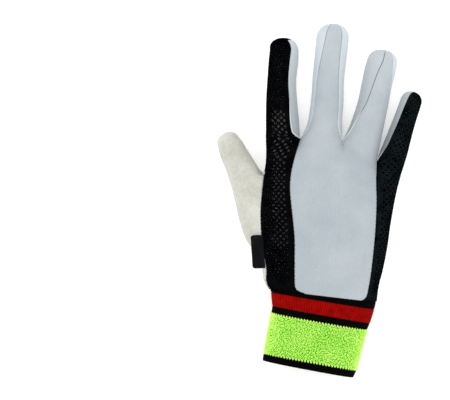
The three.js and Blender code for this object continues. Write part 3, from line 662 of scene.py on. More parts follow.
def crease_depth(points, creases):
    """How far each point is pressed in by the soft creases."""
    depth = np.zeros(len(points))
    for *ends, width, deep in creases:
        place, side, length = beside_line(points, *ends)
        arc = np.sin(np.pi * np.clip(place, 0, 1))
        side = side - CREASE_BOW * length * arc
        groove = np.exp(-(side / (width / 2)) ** 2)
        fold = np.exp(-((side - width * FOLD_PLACE) / (width / FOLD_NARROW)) ** 2)
        depth += deep * np.clip(arc, 0, 1) ** CREASE_FADE * (groove - FOLD_RISE * fold)
    return depth


def web_height(points):
    """How far the knit stands up over the valleys below the crotches."""
    height = np.zeros(len(points))
    for *ends, width, tall in WEBS:
        place, side, _ = beside_line(points, *ends)
        fade = np.clip(place / WEB_START, 0, 1) * np.clip(1 - place, 0, 1) ** WEB_FADE
        height += tall * fade * np.exp(-(side / (width / 2)) ** 2)
    return height


def skin_normals(skin):
    """Normals shared by the pieces that meet at a seam, each piece with an equal say."""
    points = np.array(skin.points)
    names = sorted(set(skin.pieces))
    total = np.zeros_like(points)
    for name in names:
        own = np.zeros_like(points)
        for corners, piece in zip(skin.faces, skin.pieces):
            if piece == name:
                ring = points[list(corners)]
                own[list(corners)] += np.cross(ring, np.roll(ring, -1, axis=0)).sum(axis=0)
        length = np.linalg.norm(own, axis=1, keepdims=True)
        total += np.divide(own, length, out=np.zeros_like(own), where=length > 0)
    return total / np.maximum(np.linalg.norm(total, axis=1, keepdims=True), 1e-9)


def build_skin():
    """The skin with its creases and webs, and its normals."""
    skin = Skin()
    loops = add_hand(skin)
    add_fingers(skin, loops[-1])
    add_thumb(skin, loops)
    normals = skin_normals(skin)
    points = np.array(skin.points)
    back = np.clip(normals[:, 2] * 2, 0, 1) * crease_depth(points, BACK_CREASES)
    palm = np.clip(-normals[:, 2] * 2, 0, 1) * np.maximum(crease_depth(points, PALM_CREASES), 0)
    webs = np.clip(normals[:, 2] * 3, 0, 1) * web_height(points)
    points -= normals * (back + palm - webs)[:, None]
    points[:, 2] = np.maximum(points[:, 2], 0)
    skin.points = [tuple(point) for point in points]
    return skin, skin_normals(skin)


# Mesh helpers
def set_mode(mode):
    bpy.ops.object.mode_set(mode=mode)


def deselect_all():
    if bpy.context.object and bpy.context.object.mode != "OBJECT":
        set_mode("OBJECT")
    bpy.ops.object.select_all(action="DESELECT")


def make_current(piece):
    deselect_all()
    piece.select_set(True)
    bpy.context.view_layer.objects.active = piece


def edit_mesh(action="SELECT", kind="VERT"):
    """Edit mode on the current piece, with everything selected or nothing."""
    set_mode("EDIT")
    bpy.ops.mesh.select_mode(type=kind)
    bpy.ops.mesh.select_all(action=action)


def mesh_object(name, points, faces, uvs=None):
    mesh = bpy.data.meshes.new(name)
    mesh.from_pydata([tuple(point) for point in points], [], faces)
    if uvs is not None:
        layer = mesh.uv_layers.new(name="Cloth")
        layer.data.foreach_set("uv", np.array(uvs, dtype=np.float32).ravel())
    piece = bpy.data.objects.new(name, mesh)
    bpy.context.scene.collection.objects.link(piece)
    return piece


def apply_modifier(piece, kind, **settings):
    make_current(piece)
    modifier = piece.modifiers.new(kind.title(), kind)
    for key, value in settings.items():
        setattr(modifier, key, value)
    bpy.ops.object.modifier_apply(modifier=modifier.name)


def face_out(piece):
    make_current(piece)
    edit_mesh()
    bpy.ops.mesh.normals_make_consistent(inside=False)
    set_mode("OBJECT")


def soften(piece):
    apply_modifier(piece, "SUBSURF", levels=1, render_levels=1)
    piece.data.shade_smooth()


def dress(piece, material, slot, *nodes):
    """Gives a piece its material and its place on the glove; its slot is not used."""
    piece.data.materials.clear()
    piece.data.materials.append(material)
    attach(piece, "root")
    if nodes:
        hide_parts(*nodes)


def to_frame(points):
    """The glove's millimetres as metres in the shared frame."""
    return (np.array(points) + SHIFT) * MM


# Panels of the hand. A sharp corner is drawn back at most 1 / LEAST_PULL times as far as the rest. Turned
# edges, loops and stitches stay FLOOR_GAP metres above the floor. The net has no cells where its normal
# points lower than NET_LOWEST
LEAST_PULL = 0.7
FLOOR_GAP = 0.00002
NET_LOWEST = -0.4


def boundary_edges(faces):
    """Edges with a face on one side only, and that face."""
    edges = {}
    for corners in faces:
        for i, a in enumerate(corners):
            b = corners[(i + 1) % len(corners)]
            if (b, a) in edges:
                del edges[(b, a)]
            else:
                edges[(a, b)] = corners
    return edges


def draw_back(points, faces, draw):
    """Points of a piece, those on its edge drawn back a little from the seams, and which those are."""
    inward = {}
    for (a, b), corners in boundary_edges(faces).items():
        along = unit(points[b] - points[a])
        to_centre = np.mean([points[index] for index in corners], axis=0) - points[a]
        direction = unit(to_centre - along * (to_centre @ along))
        for index in (a, b):
            inward.setdefault(index, []).append(direction)
    moved = dict(points)
    for index, directions in inward.items():
        total = np.sum(directions, axis=0)
        strength = max(LEAST_PULL, np.linalg.norm(total) / len(directions))
        moved[index] = points[index] + unit(total) * draw / strength
    return moved, set(inward)


def mark_cells(sheet, skin, normals, faces, moved, edge):
    """Writes on each point the size of the net's cell there. It is 0 at every second point, along the seams,
    where a row or a column ends, and round the palm side."""
    squares = dict.fromkeys(moved, 0)
    border = set(edge)
    for corners in faces:
        for index in corners:
            squares[index] += len(corners) == 4
        if any(index in edge for index in corners):
            border.update(corners)
    sizes = [
        net_hole(point) if skin.even[index] and index not in border and squares[index] == 4
        and normals[index][2] > NET_LOWEST else 0
        for index, point in moved.items()
    ]
    sheet.data.attributes.new("opens", "FLOAT", "POINT").data.foreach_set("value", sizes)


def piece_sheet(skin, normals, name, draw, netted):
    """Outer sheet of a piece."""
    chosen = [i for i, piece in enumerate(skin.pieces) if piece == name]
    faces = [skin.faces[i] for i in chosen]
    points = {index: np.array(skin.points[index]) for corners in faces for index in corners}
    moved, edge = draw_back(points, faces, draw)
    slot = {index: i for i, index in enumerate(moved)}
    uvs = [[u * MM, v * MM] for i in chosen for u, v in skin.cloth[i]]
    own_faces = [[slot[index] for index in corners] for corners in faces]
    sheet = mesh_object(name, to_frame(list(moved.values())), own_faces, uvs)
    if netted:
        mark_cells(sheet, skin, normals, faces, moved, edge)
    return sheet


# Places on the back where a seam shows more or less than elsewhere: x from, to, y from, to, and how much
SEAM_STRENGTH = (
    (-12, 3, 46, 76, 0.2), (40, 54, 30, 80, 0.15), (44, 54, 80, 101, 0.5), (14, 27, 36, 58, 0.3),
    (27, 47, 58, 102, 1.5), (0, 12, 76, 118, 0.8),
)


def seam_strength(vertex):
    x, y = vertex.co.x / MM - SHIFT[0], vertex.co.y / MM - SHIFT[1]
    for low_x, high_x, low_y, high_y, strength in SEAM_STRENGTH:
        if vertex.normal.z > 0 and low_x < x < high_x and low_y < y < high_y:
            return strength
    return 1.0


def roll_edge(sheet, width, depth):
    """Narrow border along the piece's edge, turned down into the seam."""
    make_current(sheet)
    edit_mesh(kind="FACE")
    bpy.ops.mesh.inset(thickness=width * MM, depth=0, use_boundary=True, use_even_offset=False)
    edit_mesh("DESELECT")
    bpy.ops.mesh.select_non_manifold(
        extend=False, use_wire=False, use_boundary=True, use_multi_face=False,
        use_non_contiguous=False, use_verts=False,
    )
    set_mode("OBJECT")
    for vertex in sheet.data.vertices:
        if vertex.select:
            vertex.co -= Vector(vertex.normal) * depth * seam_strength(vertex) * MM
            vertex.co.z = max(vertex.co.z, FLOOR_GAP)


# The net: sizes of its cells, the form of its funnels, and where the cells are open instead
WIDE_HOLE = 1.5
MIDDLE_HOLE = 1.14
NET_FUNNEL = 1.3
FUNNEL_BOTTOM = 0.3
FUNNEL_DEPTH = 0.4
OPEN_NET = {"x": -27, "half_width": 7, "low": -33, "high": 62, "wide_from": 30, "wide_half": 5.8}


def net_hole(point):
    """Size of the net's cell at a point: widest at the knuckle, and drawn to a narrow funnel on the fingers,
    at the wrist and at the outer edge."""
    off_centre = abs(point[0] - OPEN_NET["x"])
    y = point[1]
    if off_centre > OPEN_NET["half_width"] or not OPEN_NET["low"] < y < OPEN_NET["high"]:
        return NET_FUNNEL
    return WIDE_HOLE if y > OPEN_NET["wide_from"] and off_centre < OPEN_NET["wide_half"] else MIDDLE_HOLE


def sink_cells(mesh):
    """Draws each selected cell of the net down to a funnel with a small bottom, whose slopes get the
    near-black pit material: painted shade inside the hole.
    """
    set_mode("OBJECT")
    for polygon in mesh.polygons:
        if polygon.select:
            polygon.material_index = 1
    set_mode("EDIT")
    bpy.ops.mesh.extrude_faces_move()
    set_mode("OBJECT")
    for polygon in mesh.polygons:
        if polygon.select:
            centre, down = Vector(polygon.center), Vector(polygon.normal) * FUNNEL_DEPTH * MM
            for index in polygon.vertices:
                vertex = mesh.vertices[index]
                vertex.co = centre + (vertex.co - centre) * FUNNEL_BOTTOM - down
    set_mode("EDIT")


def open_net(sheet):
    """Cuts the net's staggered cells: each marked point is bevelled to a small diamond, which is sunk to a
    funnel where the net is drawn tight, and then taken out."""
    mesh = sheet.data
    make_current(sheet)
    for size in (WIDE_HOLE, MIDDLE_HOLE, NET_FUNNEL):
        sizes = np.zeros(len(mesh.vertices))
        mesh.attributes["opens"].data.foreach_get("value", sizes)
        marked = np.isclose(sizes, size, atol=0.001)
        if not np.any(marked):
            continue
        edit_mesh("DESELECT")
        set_mode("OBJECT")
        for vertex, own in zip(mesh.vertices, marked):
            vertex.select = bool(own)
        set_mode("EDIT")
        bpy.ops.mesh.bevel(affect="VERTICES", offset=size * MM, offset_type="OFFSET", segments=1)
        bpy.ops.mesh.select_mode(type="FACE")
        if size == NET_FUNNEL:
            sink_cells(mesh)
        bpy.ops.mesh.delete(type="FACE")
        set_mode("OBJECT")
    mesh.attributes.remove(mesh.attributes["opens"])


# Thickness, how far the edge is drawn back from the seam, and width and depth of the turned edge
PALM_EDGE = (LEATHER_WALL, 0.04, 0.7, 0.3)
THUMB_EDGE = (LEATHER_WALL, 0.06, 0.7, 0.3)
KNIT_EDGE = (KNIT_WALL, 0.02, 0.5, 0.13)
NET_EDGE = (MESH_WALL, 0.04, 0.6, 0.26)

# Finish, slot, wall and edge of each panel
PANELS = {
    "palm_leather": ("palm", "palm_leather", PALM_EDGE),
    "thumb_leather": ("thumb", "thumb_leather", THUMB_EDGE),
    "back_panel": ("knit", "stretch_knit", KNIT_EDGE),
    "index_mesh_panel": ("net", "black_mesh", NET_EDGE),
    "little_mesh_panel": ("outer_net", "black_mesh", NET_EDGE),
    # The side pieces take darker copies of the stretch knit: painted shade on the fingers' inner walls,
    # darkest on the little finger's side
    "fourchette_index_middle": ("side", "side_knit", KNIT_EDGE),
    "fourchette_middle_ring": ("side", "side_knit", KNIT_EDGE),
    "fourchette_ring_little": ("shaded", "side_knit", KNIT_EDGE),
}

# Where a side piece passes from the finger's inner wall, in painted shade, to its shoulder, in painted light:
# fork x, y, slope, side
LIGHT_SIDES = {
    "fourchette_index_middle": (-14.4, 42.7, 0.0, 1),
    "fourchette_middle_ring": (14.8, 40.6, 0.15, -1),
    "fourchette_ring_little": (38.8, 27.2, 0.28, -1),
}


def lighten_side(sheet, split, material):
    """The shoulder of one of the two fingers gets the lighter copy of the knit: painted light."""
    x0, y0, slope, side = split
    sheet.data.materials.append(material)
    for polygon in sheet.data.polygons:
        x = polygon.center.x / MM - SHIFT[0] - x0
        y = polygon.center.y / MM - SHIFT[1] - y0
        polygon.material_index = int((x - slope * y) * side > 0)


def make_panels(skin, normals, materials):
    for name, (finish, slot, (wall, draw, roll_width, roll_depth)) in PANELS.items():
        netted = slot == "black_mesh"
        leather = finish in ("palm", "thumb")
        sheet = piece_sheet(skin, normals, name, draw, netted)
        roll_edge(sheet, roll_width, roll_depth)
        dress(sheet, materials[finish], slot, name)
        if netted:
            # The funnels' slopes take the near-black pit material: painted shade
            sheet.data.materials.append(materials["net_pit_shade"])
            open_net(sheet)
        if leather:
            sheet.data.materials.append(materials["suede"])
        if name in LIGHT_SIDES:
            lighten_side(sheet, LIGHT_SIDES[name], materials["rim"])
        apply_modifier(
            sheet, "SOLIDIFY", thickness=wall * MM, offset=-1, use_even_offset=False,
            material_offset=int(leather), material_offset_rim=int(leather),
        )
        soften(sheet)
        sheet.name = name + "_cloth"


# Material helpers
def set_inputs(node, values):
    """Sets inputs of a node by their names, written small and with underscores."""
    for key, value in values.items():
        node.inputs[key.replace("_", " ").title()].default_value = value


def new_material(name, gloss, **constants):
    """A material, its tree and its shader with the constants that it keeps all over."""
    material = bpy.data.materials.new(name)
    material.use_nodes = True
    tree = material.node_tree
    tree.nodes.clear()
    output = tree.nodes.new("ShaderNodeOutputMaterial")
    shader = tree.nodes.new("ShaderNodeBsdfPrincipled")
    tree.links.new(shader.outputs["BSDF"], output.inputs["Surface"])
    shader.inputs["Specular IOR Level"].default_value = gloss
    set_inputs(shader, constants)
    return material, tree, shader


def add_node(tree, kind, settings=(), **inputs):
    node = tree.nodes.new(kind)
    for key, value in dict(settings).items():
        setattr(node, key, value)
    set_inputs(node, inputs)
    return node


def math_node(tree, operation, *values):
    node = add_node(tree, "ShaderNodeMath", {"operation": operation})
    for socket, value in zip(node.inputs, values):
        if isinstance(value, (int, float)):
            socket.default_value = value
        else:
            tree.links.new(value, socket)
    return node.outputs[0]


def wave_node(tree, value, pace):
    return math_node(tree, "SINE", math_node(tree, "MULTIPLY", value, pace))


def mix_colour(tree, factor, a, b, blend="MIX"):
    node = add_node(tree, "ShaderNodeMix", {"data_type": "RGBA", "blend_type": blend})
    for place, value in ((0, factor), (6, a), (7, b)):
        socket = node.inputs[place]
        if isinstance(value, bpy.types.NodeSocket):
            tree.links.new(value, socket)
        else:
            socket.default_value = value
    return node.outputs[2]


def object_place(tree):
    return tree.nodes.new("ShaderNodeTexCoord").outputs["Object"]


def cloth_place(tree):
    """The way across and along the cloth, from the piece's own map."""
    cloth = add_node(tree, "ShaderNodeUVMap", {"uv_map": "Cloth"})
    split = tree.nodes.new("ShaderNodeSeparateXYZ")
    tree.links.new(cloth.outputs["UV"], split.inputs[0])
    return split.outputs["X"], split.outputs["Y"]


def noise(tree, scale, detail, roughness):
    node = add_node(tree, "ShaderNodeTexNoise", scale=scale, detail=detail, roughness=roughness)
    tree.links.new(object_place(tree), node.inputs["Vector"])
    return node.outputs["Fac"]


def linear(red, green, blue):
    """A screen colour, 0 to 255, as linear light."""
    values = []
    for value in (red, green, blue):
        share = value / 255
        values.append(share / 12.92 if share <= 0.04045 else ((share + 0.055) / 1.055) ** 2.4)
    return (*values, 1.0)


def group_tree(name, inputs, outputs):
    """A node group with its sockets, each given as its name and Color or Float."""
    tree = bpy.data.node_groups.new(name, "ShaderNodeTree")
    for way, sockets in (("INPUT", inputs), ("OUTPUT", outputs)):
        for label, kind in sockets.items():
            tree.interface.new_socket(name=label, in_out=way, socket_type="NodeSocket" + kind)
    return tree, tree.nodes.new("NodeGroupInput"), tree.nodes.new("NodeGroupOutput")


def use_group(tree, name, **values):
    return add_node(tree, "ShaderNodeGroup", {"node_tree": bpy.data.node_groups[name]}, **values)


def join_bump(tree, shader, height, distance, strength=1.0):
    bump = add_node(tree, "ShaderNodeBump", distance=distance, strength=strength)
    tree.links.new(height, bump.inputs["Height"])
    tree.links.new(bump.outputs["Normal"], shader.inputs["Normal"])


# Effects that the materials share
def make_shade_group():
    """Soft uneven shade over a cloth or hide: broad clouds and fine flecks."""
    tree, start, end = group_tree(
        "uneven_shade",
        {"Light": "Color", "Dark": "Color", "Cloud Scale": "Float", "Fleck Scale": "Float"},
        {"Color": "Color", "Fleck": "Float"},
    )
    place = object_place(tree)
    cloud = add_node(tree, "ShaderNodeTexNoise", detail=3.0, roughness=0.6)
    fleck = add_node(tree, "ShaderNodeTexNoise", detail=2.0, roughness=0.6)
    for node, label in ((cloud, "Cloud Scale"), (fleck, "Fleck Scale")):
        tree.links.new(place, node.inputs["Vector"])
        tree.links.new(start.outputs[label], node.inputs["Scale"])
    clouds = math_node(tree, "MULTIPLY", cloud.outputs["Fac"], 0.65)
    both = math_node(tree, "MULTIPLY_ADD", fleck.outputs["Fac"], 0.35, clouds)
    share = math_node(tree, "SMOOTH_MIN", math_node(tree, "MULTIPLY_ADD", both, 3.2, -1.1), 1.0, 0.2)
    share = math_node(tree, "MAXIMUM", share, 0.0)
    colour = mix_colour(tree, share, start.outputs["Dark"], start.outputs["Light"])
    tree.links.new(colour, end.inputs["Color"])
    tree.links.new(fleck.outputs["Fac"], end.inputs["Fleck"])


def stitch_tree(name, width, mask, slant):
    """Start of a knit's relief on the cloth's own map: its tree and end, the way across from the edge to the
    middle of a column of stitches, and the wave of the yarn that slants over the column."""
    tree, start, end = group_tree(
        name, {width: "Float", "Stitch Length": "Float"}, {"Height": "Float", mask: "Float"}
    )
    x, y = cloth_place(tree)
    across = math_node(tree, "PINGPONG", math_node(tree, "DIVIDE", x, start.outputs[width]), 0.5)
    row = math_node(tree, "DIVIDE", y, start.outputs["Stitch Length"])
    yarn = wave_node(tree, math_node(tree, slant, row, across), 2 * math.pi)
    return tree, end, across, yarn


def make_knit_group():
    """Height of a knitted face: small V stitches in columns."""
    tree, end, across, yarn = stitch_tree("knit_face", "Stitch Width", "Column", "SUBTRACT")
    column = wave_node(tree, across, math.pi)
    tree.links.new(math_node(tree, "MULTIPLY_ADD", yarn, 0.3, column), end.inputs["Height"])
    tree.links.new(column, end.inputs["Column"])


def make_rib_group():
    """Ribs of an elastic knit: height, and how much of a groove there is."""
    tree, end, across, yarn = stitch_tree("rib_face", "Rib Pitch", "Groove", "ADD")
    groove = math_node(tree, "MULTIPLY", across, 2.0)
    height = math_node(tree, "MULTIPLY_ADD", yarn, 0.4, math_node(tree, "MULTIPLY", groove, -1.0))
    tree.links.new(height, end.inputs["Height"])
    tree.links.new(groove, end.inputs["Groove"])


def toned_material(name, tones, *, clouds, flecks, gloss, **constants):
    """A material with its tree, its shader and its two tones in clouds and flecks."""
    material, tree, shader = new_material(name, gloss, **constants)
    light, dark = (linear(*colour) for colour in tones)
    tone = use_group(tree, "uneven_shade", light=light, dark=dark, cloud_scale=clouds, fleck_scale=flecks)
    return material, tree, shader, tone


# Size of a knit's stitches, distance between the slanting ridges of the net's yarn, and depth of each relief,
# all in metres, and the screen colour that the knit turns towards higher up the glove, near the fingertips
KNIT_STITCH = {"stitch_width": 0.0011, "stitch_length": 0.0013}
RIB_STITCH = 0.0011
NET_GRAIN = 0.0026
RELIEF = {"rib": 0.00016, "leather": 0.00022, "knit": 0.00012, "yarn": 0.0003, "net": 0.0003}
TIP_TONE = (228, 236, 240)


def rib_material(name, light, dark, groove):
    """Ribbed elastic knit, with painted shade in its grooves: a darker colour laid where the ribs sink."""
    material, tree, shader, tone = toned_material(
        name, (light, dark), clouds=160.0, flecks=1300.0, gloss=0.03, roughness=0.85
    )
    face = use_group(tree, "rib_face", rib_pitch=RIB_PITCH * MM, stitch_length=RIB_STITCH)
    # The grooves take the groove colour: painted shade
    share = math_node(tree, "POWER", face.outputs["Groove"], 2.0)
    shaded = mix_colour(tree, share, tone.outputs["Color"], linear(*groove))
    tree.links.new(shaded, shader.inputs["Base Color"])
    height = math_node(tree, "MULTIPLY_ADD", tone.outputs["Fleck"], 1.2, face.outputs["Height"])
    join_bump(tree, shader, height, RELIEF["rib"])
    return material


def leather_material(name, light, dark, roughness):
    """Leather or suede: pores and fine folds, duller in the folds."""
    material, tree, shader, tone = toned_material(
        name, (light, dark), clouds=38.0, flecks=420.0, gloss=0.3,
        roughness=roughness, sheen_weight=0.08, sheen_roughness=0.5,
    )
    tree.links.new(tone.outputs["Color"], shader.inputs["Base Color"])
    cells = add_node(tree, "ShaderNodeTexVoronoi", {"feature": "DISTANCE_TO_EDGE"}, scale=950.0)
    tree.links.new(object_place(tree), cells.inputs["Vector"])
    pores = math_node(tree, "MINIMUM", cells.outputs["Distance"], 0.18)
    folds = noise(tree, 120.0, 4.0, 0.6)
    height = math_node(tree, "MULTIPLY_ADD", folds, 2.2, pores)
    height = math_node(tree, "MULTIPLY_ADD", tone.outputs["Fleck"], 0.5, height)
    join_bump(tree, shader, height, RELIEF["leather"])
    dullness = math_node(tree, "MULTIPLY_ADD", folds, 0.2, roughness - 0.1)
    tree.links.new(dullness, shader.inputs["Roughness"])
    return material


def knit_material(name, light, dark, tip_lightening=(0.05, 0.11, 0.13)):
    """Stretch knit, lighter higher up the glove towards the fingertips: the last argument is the height on
    the glove at which it starts to look lighter, the one at which it is lightest, and by how much."""
    material, tree, shader, tone = toned_material(
        name, (light, dark), clouds=30.0, flecks=900.0, gloss=0.25,
        roughness=0.6, sheen_weight=0.3, sheen_roughness=0.35,
    )
    face = use_group(tree, "knit_face", **KNIT_STITCH)
    share = math_node(tree, "MULTIPLY_ADD", face.outputs["Column"], -0.12, 1.0)
    shaded = mix_colour(tree, 1.0, tone.outputs["Color"], share, "MULTIPLY")
    # The knit turns lighter higher up the glove, towards the fingertips
    split = tree.nodes.new("ShaderNodeSeparateXYZ")
    tree.links.new(object_place(tree), split.inputs[0])
    low, high, most = tip_lightening
    toward_tips = add_node(tree, "ShaderNodeMapRange", from_min=low, from_max=high, to_max=most)
    tree.links.new(split.outputs["Y"], toward_tips.inputs["Value"])
    shaded = mix_colour(tree, toward_tips.outputs["Result"], shaded, linear(*TIP_TONE))
    tree.links.new(shaded, shader.inputs["Base Color"])
    join_bump(tree, shader, face.outputs["Height"], RELIEF["knit"], 0.7)
    return material


def yarn_material(name, light, dark, grain, roughness=0.9, painted_glow=0.0):
    """Fuzzy yarn: fine fibres across the piece. Where a glow is given, the yarn emits its own colour a
    little: painted light.
    """
    material, tree, shader, tone = toned_material(
        name, (light, dark), clouds=90.0, flecks=grain, gloss=0.03, roughness=roughness
    )
    tree.links.new(tone.outputs["Color"], shader.inputs["Base Color"])
    # Painted light: the yarn emits its own colour
    if painted_glow:
        shader.inputs["Emission Strength"].default_value = painted_glow
        tree.links.new(tone.outputs["Color"], shader.inputs["Emission Color"])
    fibres = noise(tree, grain * 1.7, 3.0, 0.7)
    join_bump(tree, shader, fibres, RELIEF["yarn"])
    return material


def net_material(name, ridge, pit_shade):
    """Black warp-knit net: dull yarn whose crossing ridges are a little lighter than its pits, which get
    painted shade.
    """
    material, tree, shader, tone = toned_material(
        name, (ridge, pit_shade), clouds=120.0, flecks=1500.0, gloss=0.0, roughness=0.9
    )
    x, y = cloth_place(tree)
    rising, falling = (
        wave_node(tree, math_node(tree, "MULTIPLY_ADD", y, slant, x), 2 * math.pi / NET_GRAIN)
        for slant in (1.0, -1.0)
    )
    grain = math_node(tree, "MULTIPLY", rising, falling)
    share = math_node(tree, "MULTIPLY_ADD", grain, 0.5, 0.5)
    # Pits between the ridges take the pit colour: painted shade
    shaded = mix_colour(tree, share, linear(*pit_shade), tone.outputs["Color"])
    tree.links.new(shaded, shader.inputs["Base Color"])
    height = math_node(tree, "MULTIPLY_ADD", tone.outputs["Fleck"], 0.8, grain)
    join_bump(tree, shader, height, RELIEF["net"])
    return material


def floor_material():
    material, tree, shader = new_material("pale_floor", gloss=0.5, roughness=0.9)
    tone = mix_colour(tree, noise(tree, 3.0, 3.0, 0.55), (0.9, 0.9, 0.9, 1), (0.93, 0.93, 0.93, 1))
    tree.links.new(tone, shader.inputs["Base Color"])
    set_inputs(shader, {"emission_color": (1, 1, 1, 1), "emission_strength": 0.3})
    return material


# Each finish: how it is made, its name, its light and its dark screen colour, and what else its maker takes
FINISHES = {
    "palm": (leather_material, "palm_leather", (204, 205, 199), (178, 179, 171), 0.72),
    "thumb": (leather_material, "thumb_leather", (205, 205, 197), (177, 175, 163), 0.72),
    "suede": (leather_material, "inner_suede", (178, 177, 175), (160, 159, 157), 0.9),
    "knit": (knit_material, "stretch_knit", (181, 189, 193), (162, 171, 178)),
    # Darker copies of the stretch knit for the side pieces: painted shade on the fingers' inner walls
    "side": (knit_material, "side_knit", (158, 167, 171), (146, 156, 161), (0.03, 0.11, 0.4)),
    "shaded": (knit_material, "shaded_side_knit", (132, 142, 146), (120, 130, 135), (0.03, 0.09, 0.5)),
    # A lighter copy of the same knit: painted light on the crotch rims and on the fingers' shoulders
    "rim": (knit_material, "rim_knit", (204, 211, 216), (192, 201, 207)),
    "net": (net_material, "black_mesh", (22, 23, 25), (2, 2, 3)),
    "outer_net": (net_material, "outer_black_mesh", (38, 45, 48), (3, 6, 8)),
    # Near-black slopes of the net's funnels: painted shade inside the holes
    "net_pit_shade": (net_material, "mesh_pit", (3, 4, 5), (1, 1, 2)),
    # The ribs' last colour is painted shade laid into their grooves
    "black_rib": (rib_material, "black_rib", (6, 6, 6), (3, 3, 3), (1, 1, 1)),
    "red_rib": (rib_material, "red_rib", (184, 12, 6), (132, 3, 3), (70, 1, 1)),
    # The lime terry's last number is its glow: painted light
    "terry": (yarn_material, "lime_terry", (222, 255, 136), (192, 255, 104), 1100.0, 0.9, 0.13),
    # The ground, seen between the loops, is a darker green than the loops: painted shade between them
    "terry_ground": (yarn_material, "lime_ground", (122, 204, 50), (92, 168, 34), 900.0),
    "label": (yarn_material, "label_satin", (21, 22, 24), (7, 7, 9), 1300.0, 0.5),
    "white_thread": (yarn_material, "white_thread", (196, 198, 194), (180, 182, 180), 2200.0),
    "black_thread": (yarn_material, "black_thread", (6, 6, 8), (3, 3, 4), 2200.0),
}


def make_materials():
    make_shade_group()
    make_knit_group()
    make_rib_group()
    return {finish: maker(*values) for finish, (maker, *values) in FINISHES.items()}


# The cuff: its ribs, the angles at which its outline is read, and its closing seam as a share of the way
# round and a depth
RIB_PITCH = 1.25
CUFF_RIBS = 148
RIB_COLUMNS = 2
DENSE_ANGLES = 1440
SEAM_COLUMN = 0.36
SEAM_GROOVE = 0.9

# Rows at the edge of a band, as place along it and depth; a trim runs on under the band beside it
TRIM_ROWS = ((-0.7, 1.0), (0, 0.32))
HEM_ROWS = ((0, 0.4),)
RED_ROWS = ((0, 0.42), (0.25, 0.02))
RIB_WALL = CUFF_WALL - 0.4
GROUND_WALL = CUFF_WALL - 0.8

# Bands of the cuff: finish, slot, wall, depth of the grooves, length of the teeth, rows of the first edge,
# those between as how far in they begin, their steps and their depth, and rows of the last edge
TRIM = ("black_rib", "black_rib", RIB_WALL, 0.4, 0, TRIM_ROWS, (0.6, 2, 0.14), TRIM_ROWS)
BANDS = {
    "cuff_top_trim": TRIM,
    "cuff_middle_trim": TRIM,
    "cuff_bottom_hem": ("black_rib", "black_rib", RIB_WALL, 0.4, 0, TRIM_ROWS, (0.6, 2, -0.3), HEM_ROWS),
    "cuff_red_band": ("red_rib", "red_rib", RIB_WALL, 0.6, 0.4, RED_ROWS, (1.6, 4, 0), RED_ROWS),
    "cuff_green_band": ("terry_ground", "lime_terry", GROUND_WALL, 0.1, 0, (), (0.3, 10, 0.7), ()),
}


def cuff_ring(line, count):
    """Evenly spaced points round the cuff along a line across it, outward directions and the way round."""
    dense = np.array([cuff_point(line, 360 * i / DENSE_ANGLES) for i in range(DENSE_ANGLES + 1)])
    lengths = run_lengths(dense)
    ring = read_run(np.linspace(0, lengths[-1], count, endpoint=False), lengths, dense)
    tangent = np.roll(ring, -1, axis=0) - np.roll(ring, 1, axis=0)
    outward = np.stack([-tangent[:, 2], np.zeros(count), tangent[:, 0]], axis=1)
    outward = outward / np.linalg.norm(outward, axis=1, keepdims=True)
    return ring, outward, lengths[-1]


def cuff_ends(node):
    """The two lines between which a band of the cuff lies, and its length."""
    names = list(CUFF_LINES)
    place = names.index(node)
    start = CUFF_LINES[names[place - 1]] if place else CUFF_START
    end = CUFF_LINES[node]
    return start, end, (start[1] + start[3] - end[1] - end[3]) / 2


def make_band(name, node, rows, groove, tooth, wall, material, slot):
    """A knitted tube between two lines of the cuff; its rows are places along the band and how deep they lie.
    At both ends the ribs reach out by a tooth's length and the grooves stay back."""
    start, end, length = cuff_ends(node)
    count = CUFF_RIBS * RIB_COLUMNS
    columns = np.arange(count)
    ridge = columns % RIB_COLUMNS == 0
    seam = SEAM_GROOVE * np.clip(1 - np.abs(columns - round(SEAM_COLUMN * count)) / 2, 0, 1)
    pressed = np.where(ridge, 0, groove) + seam
    points, faces, uvs = [], [], []
    for row, (place, deep) in enumerate(rows):
        ring, outward, _ = cuff_ring(blend_points(start, end, place / length), count)
        ring = ring - outward * (deep + pressed)[:, None]
        ring[:, 1] -= np.where(ridge, tooth, -tooth) * ((row == len(rows) - 1) - (row == 0))
        ring[:, 2] = np.maximum(ring[:, 2], 0)
        points.append(ring)
    for row in range(len(rows) - 1):
        v, v_after = -rows[row][0] * MM, -rows[row + 1][0] * MM
        low, high = row * count, (row + 1) * count
        for column in range(count):
            after = (column + 1) % count
            faces.append((low + after, low + column, high + column, high + after))
            u, u_after = (RIB_PITCH * step / RIB_COLUMNS * MM for step in (column, column + 1))
            uvs += [(u_after, v), (u, v), (u, v_after), (u_after, v_after)]
    band = mesh_object(name, to_frame(np.concatenate(points)), faces, uvs)
    face_out(band)
    apply_modifier(band, "SOLIDIFY", thickness=wall * MM, offset=-1, use_even_offset=False)
    soften(band)
    dress(band, material, slot, node)


def make_cuff(materials):
    for node, (finish, slot, wall, groove, tooth, first, (inset, steps, depth), last) in BANDS.items():
        name = "cuff_green_ground" if node == "cuff_green_band" else node + "_knit"
        length = cuff_ends(node)[2]
        rows = list(first)
        rows += [(mix(inset, length - inset, i / steps), depth) for i in range(steps + 1)]
        rows += [(length - place, deep) for place, deep in reversed(last)]
        make_band(name, node, rows, groove, tooth, wall, materials[finish], slot)
    make_terry(materials["terry"])


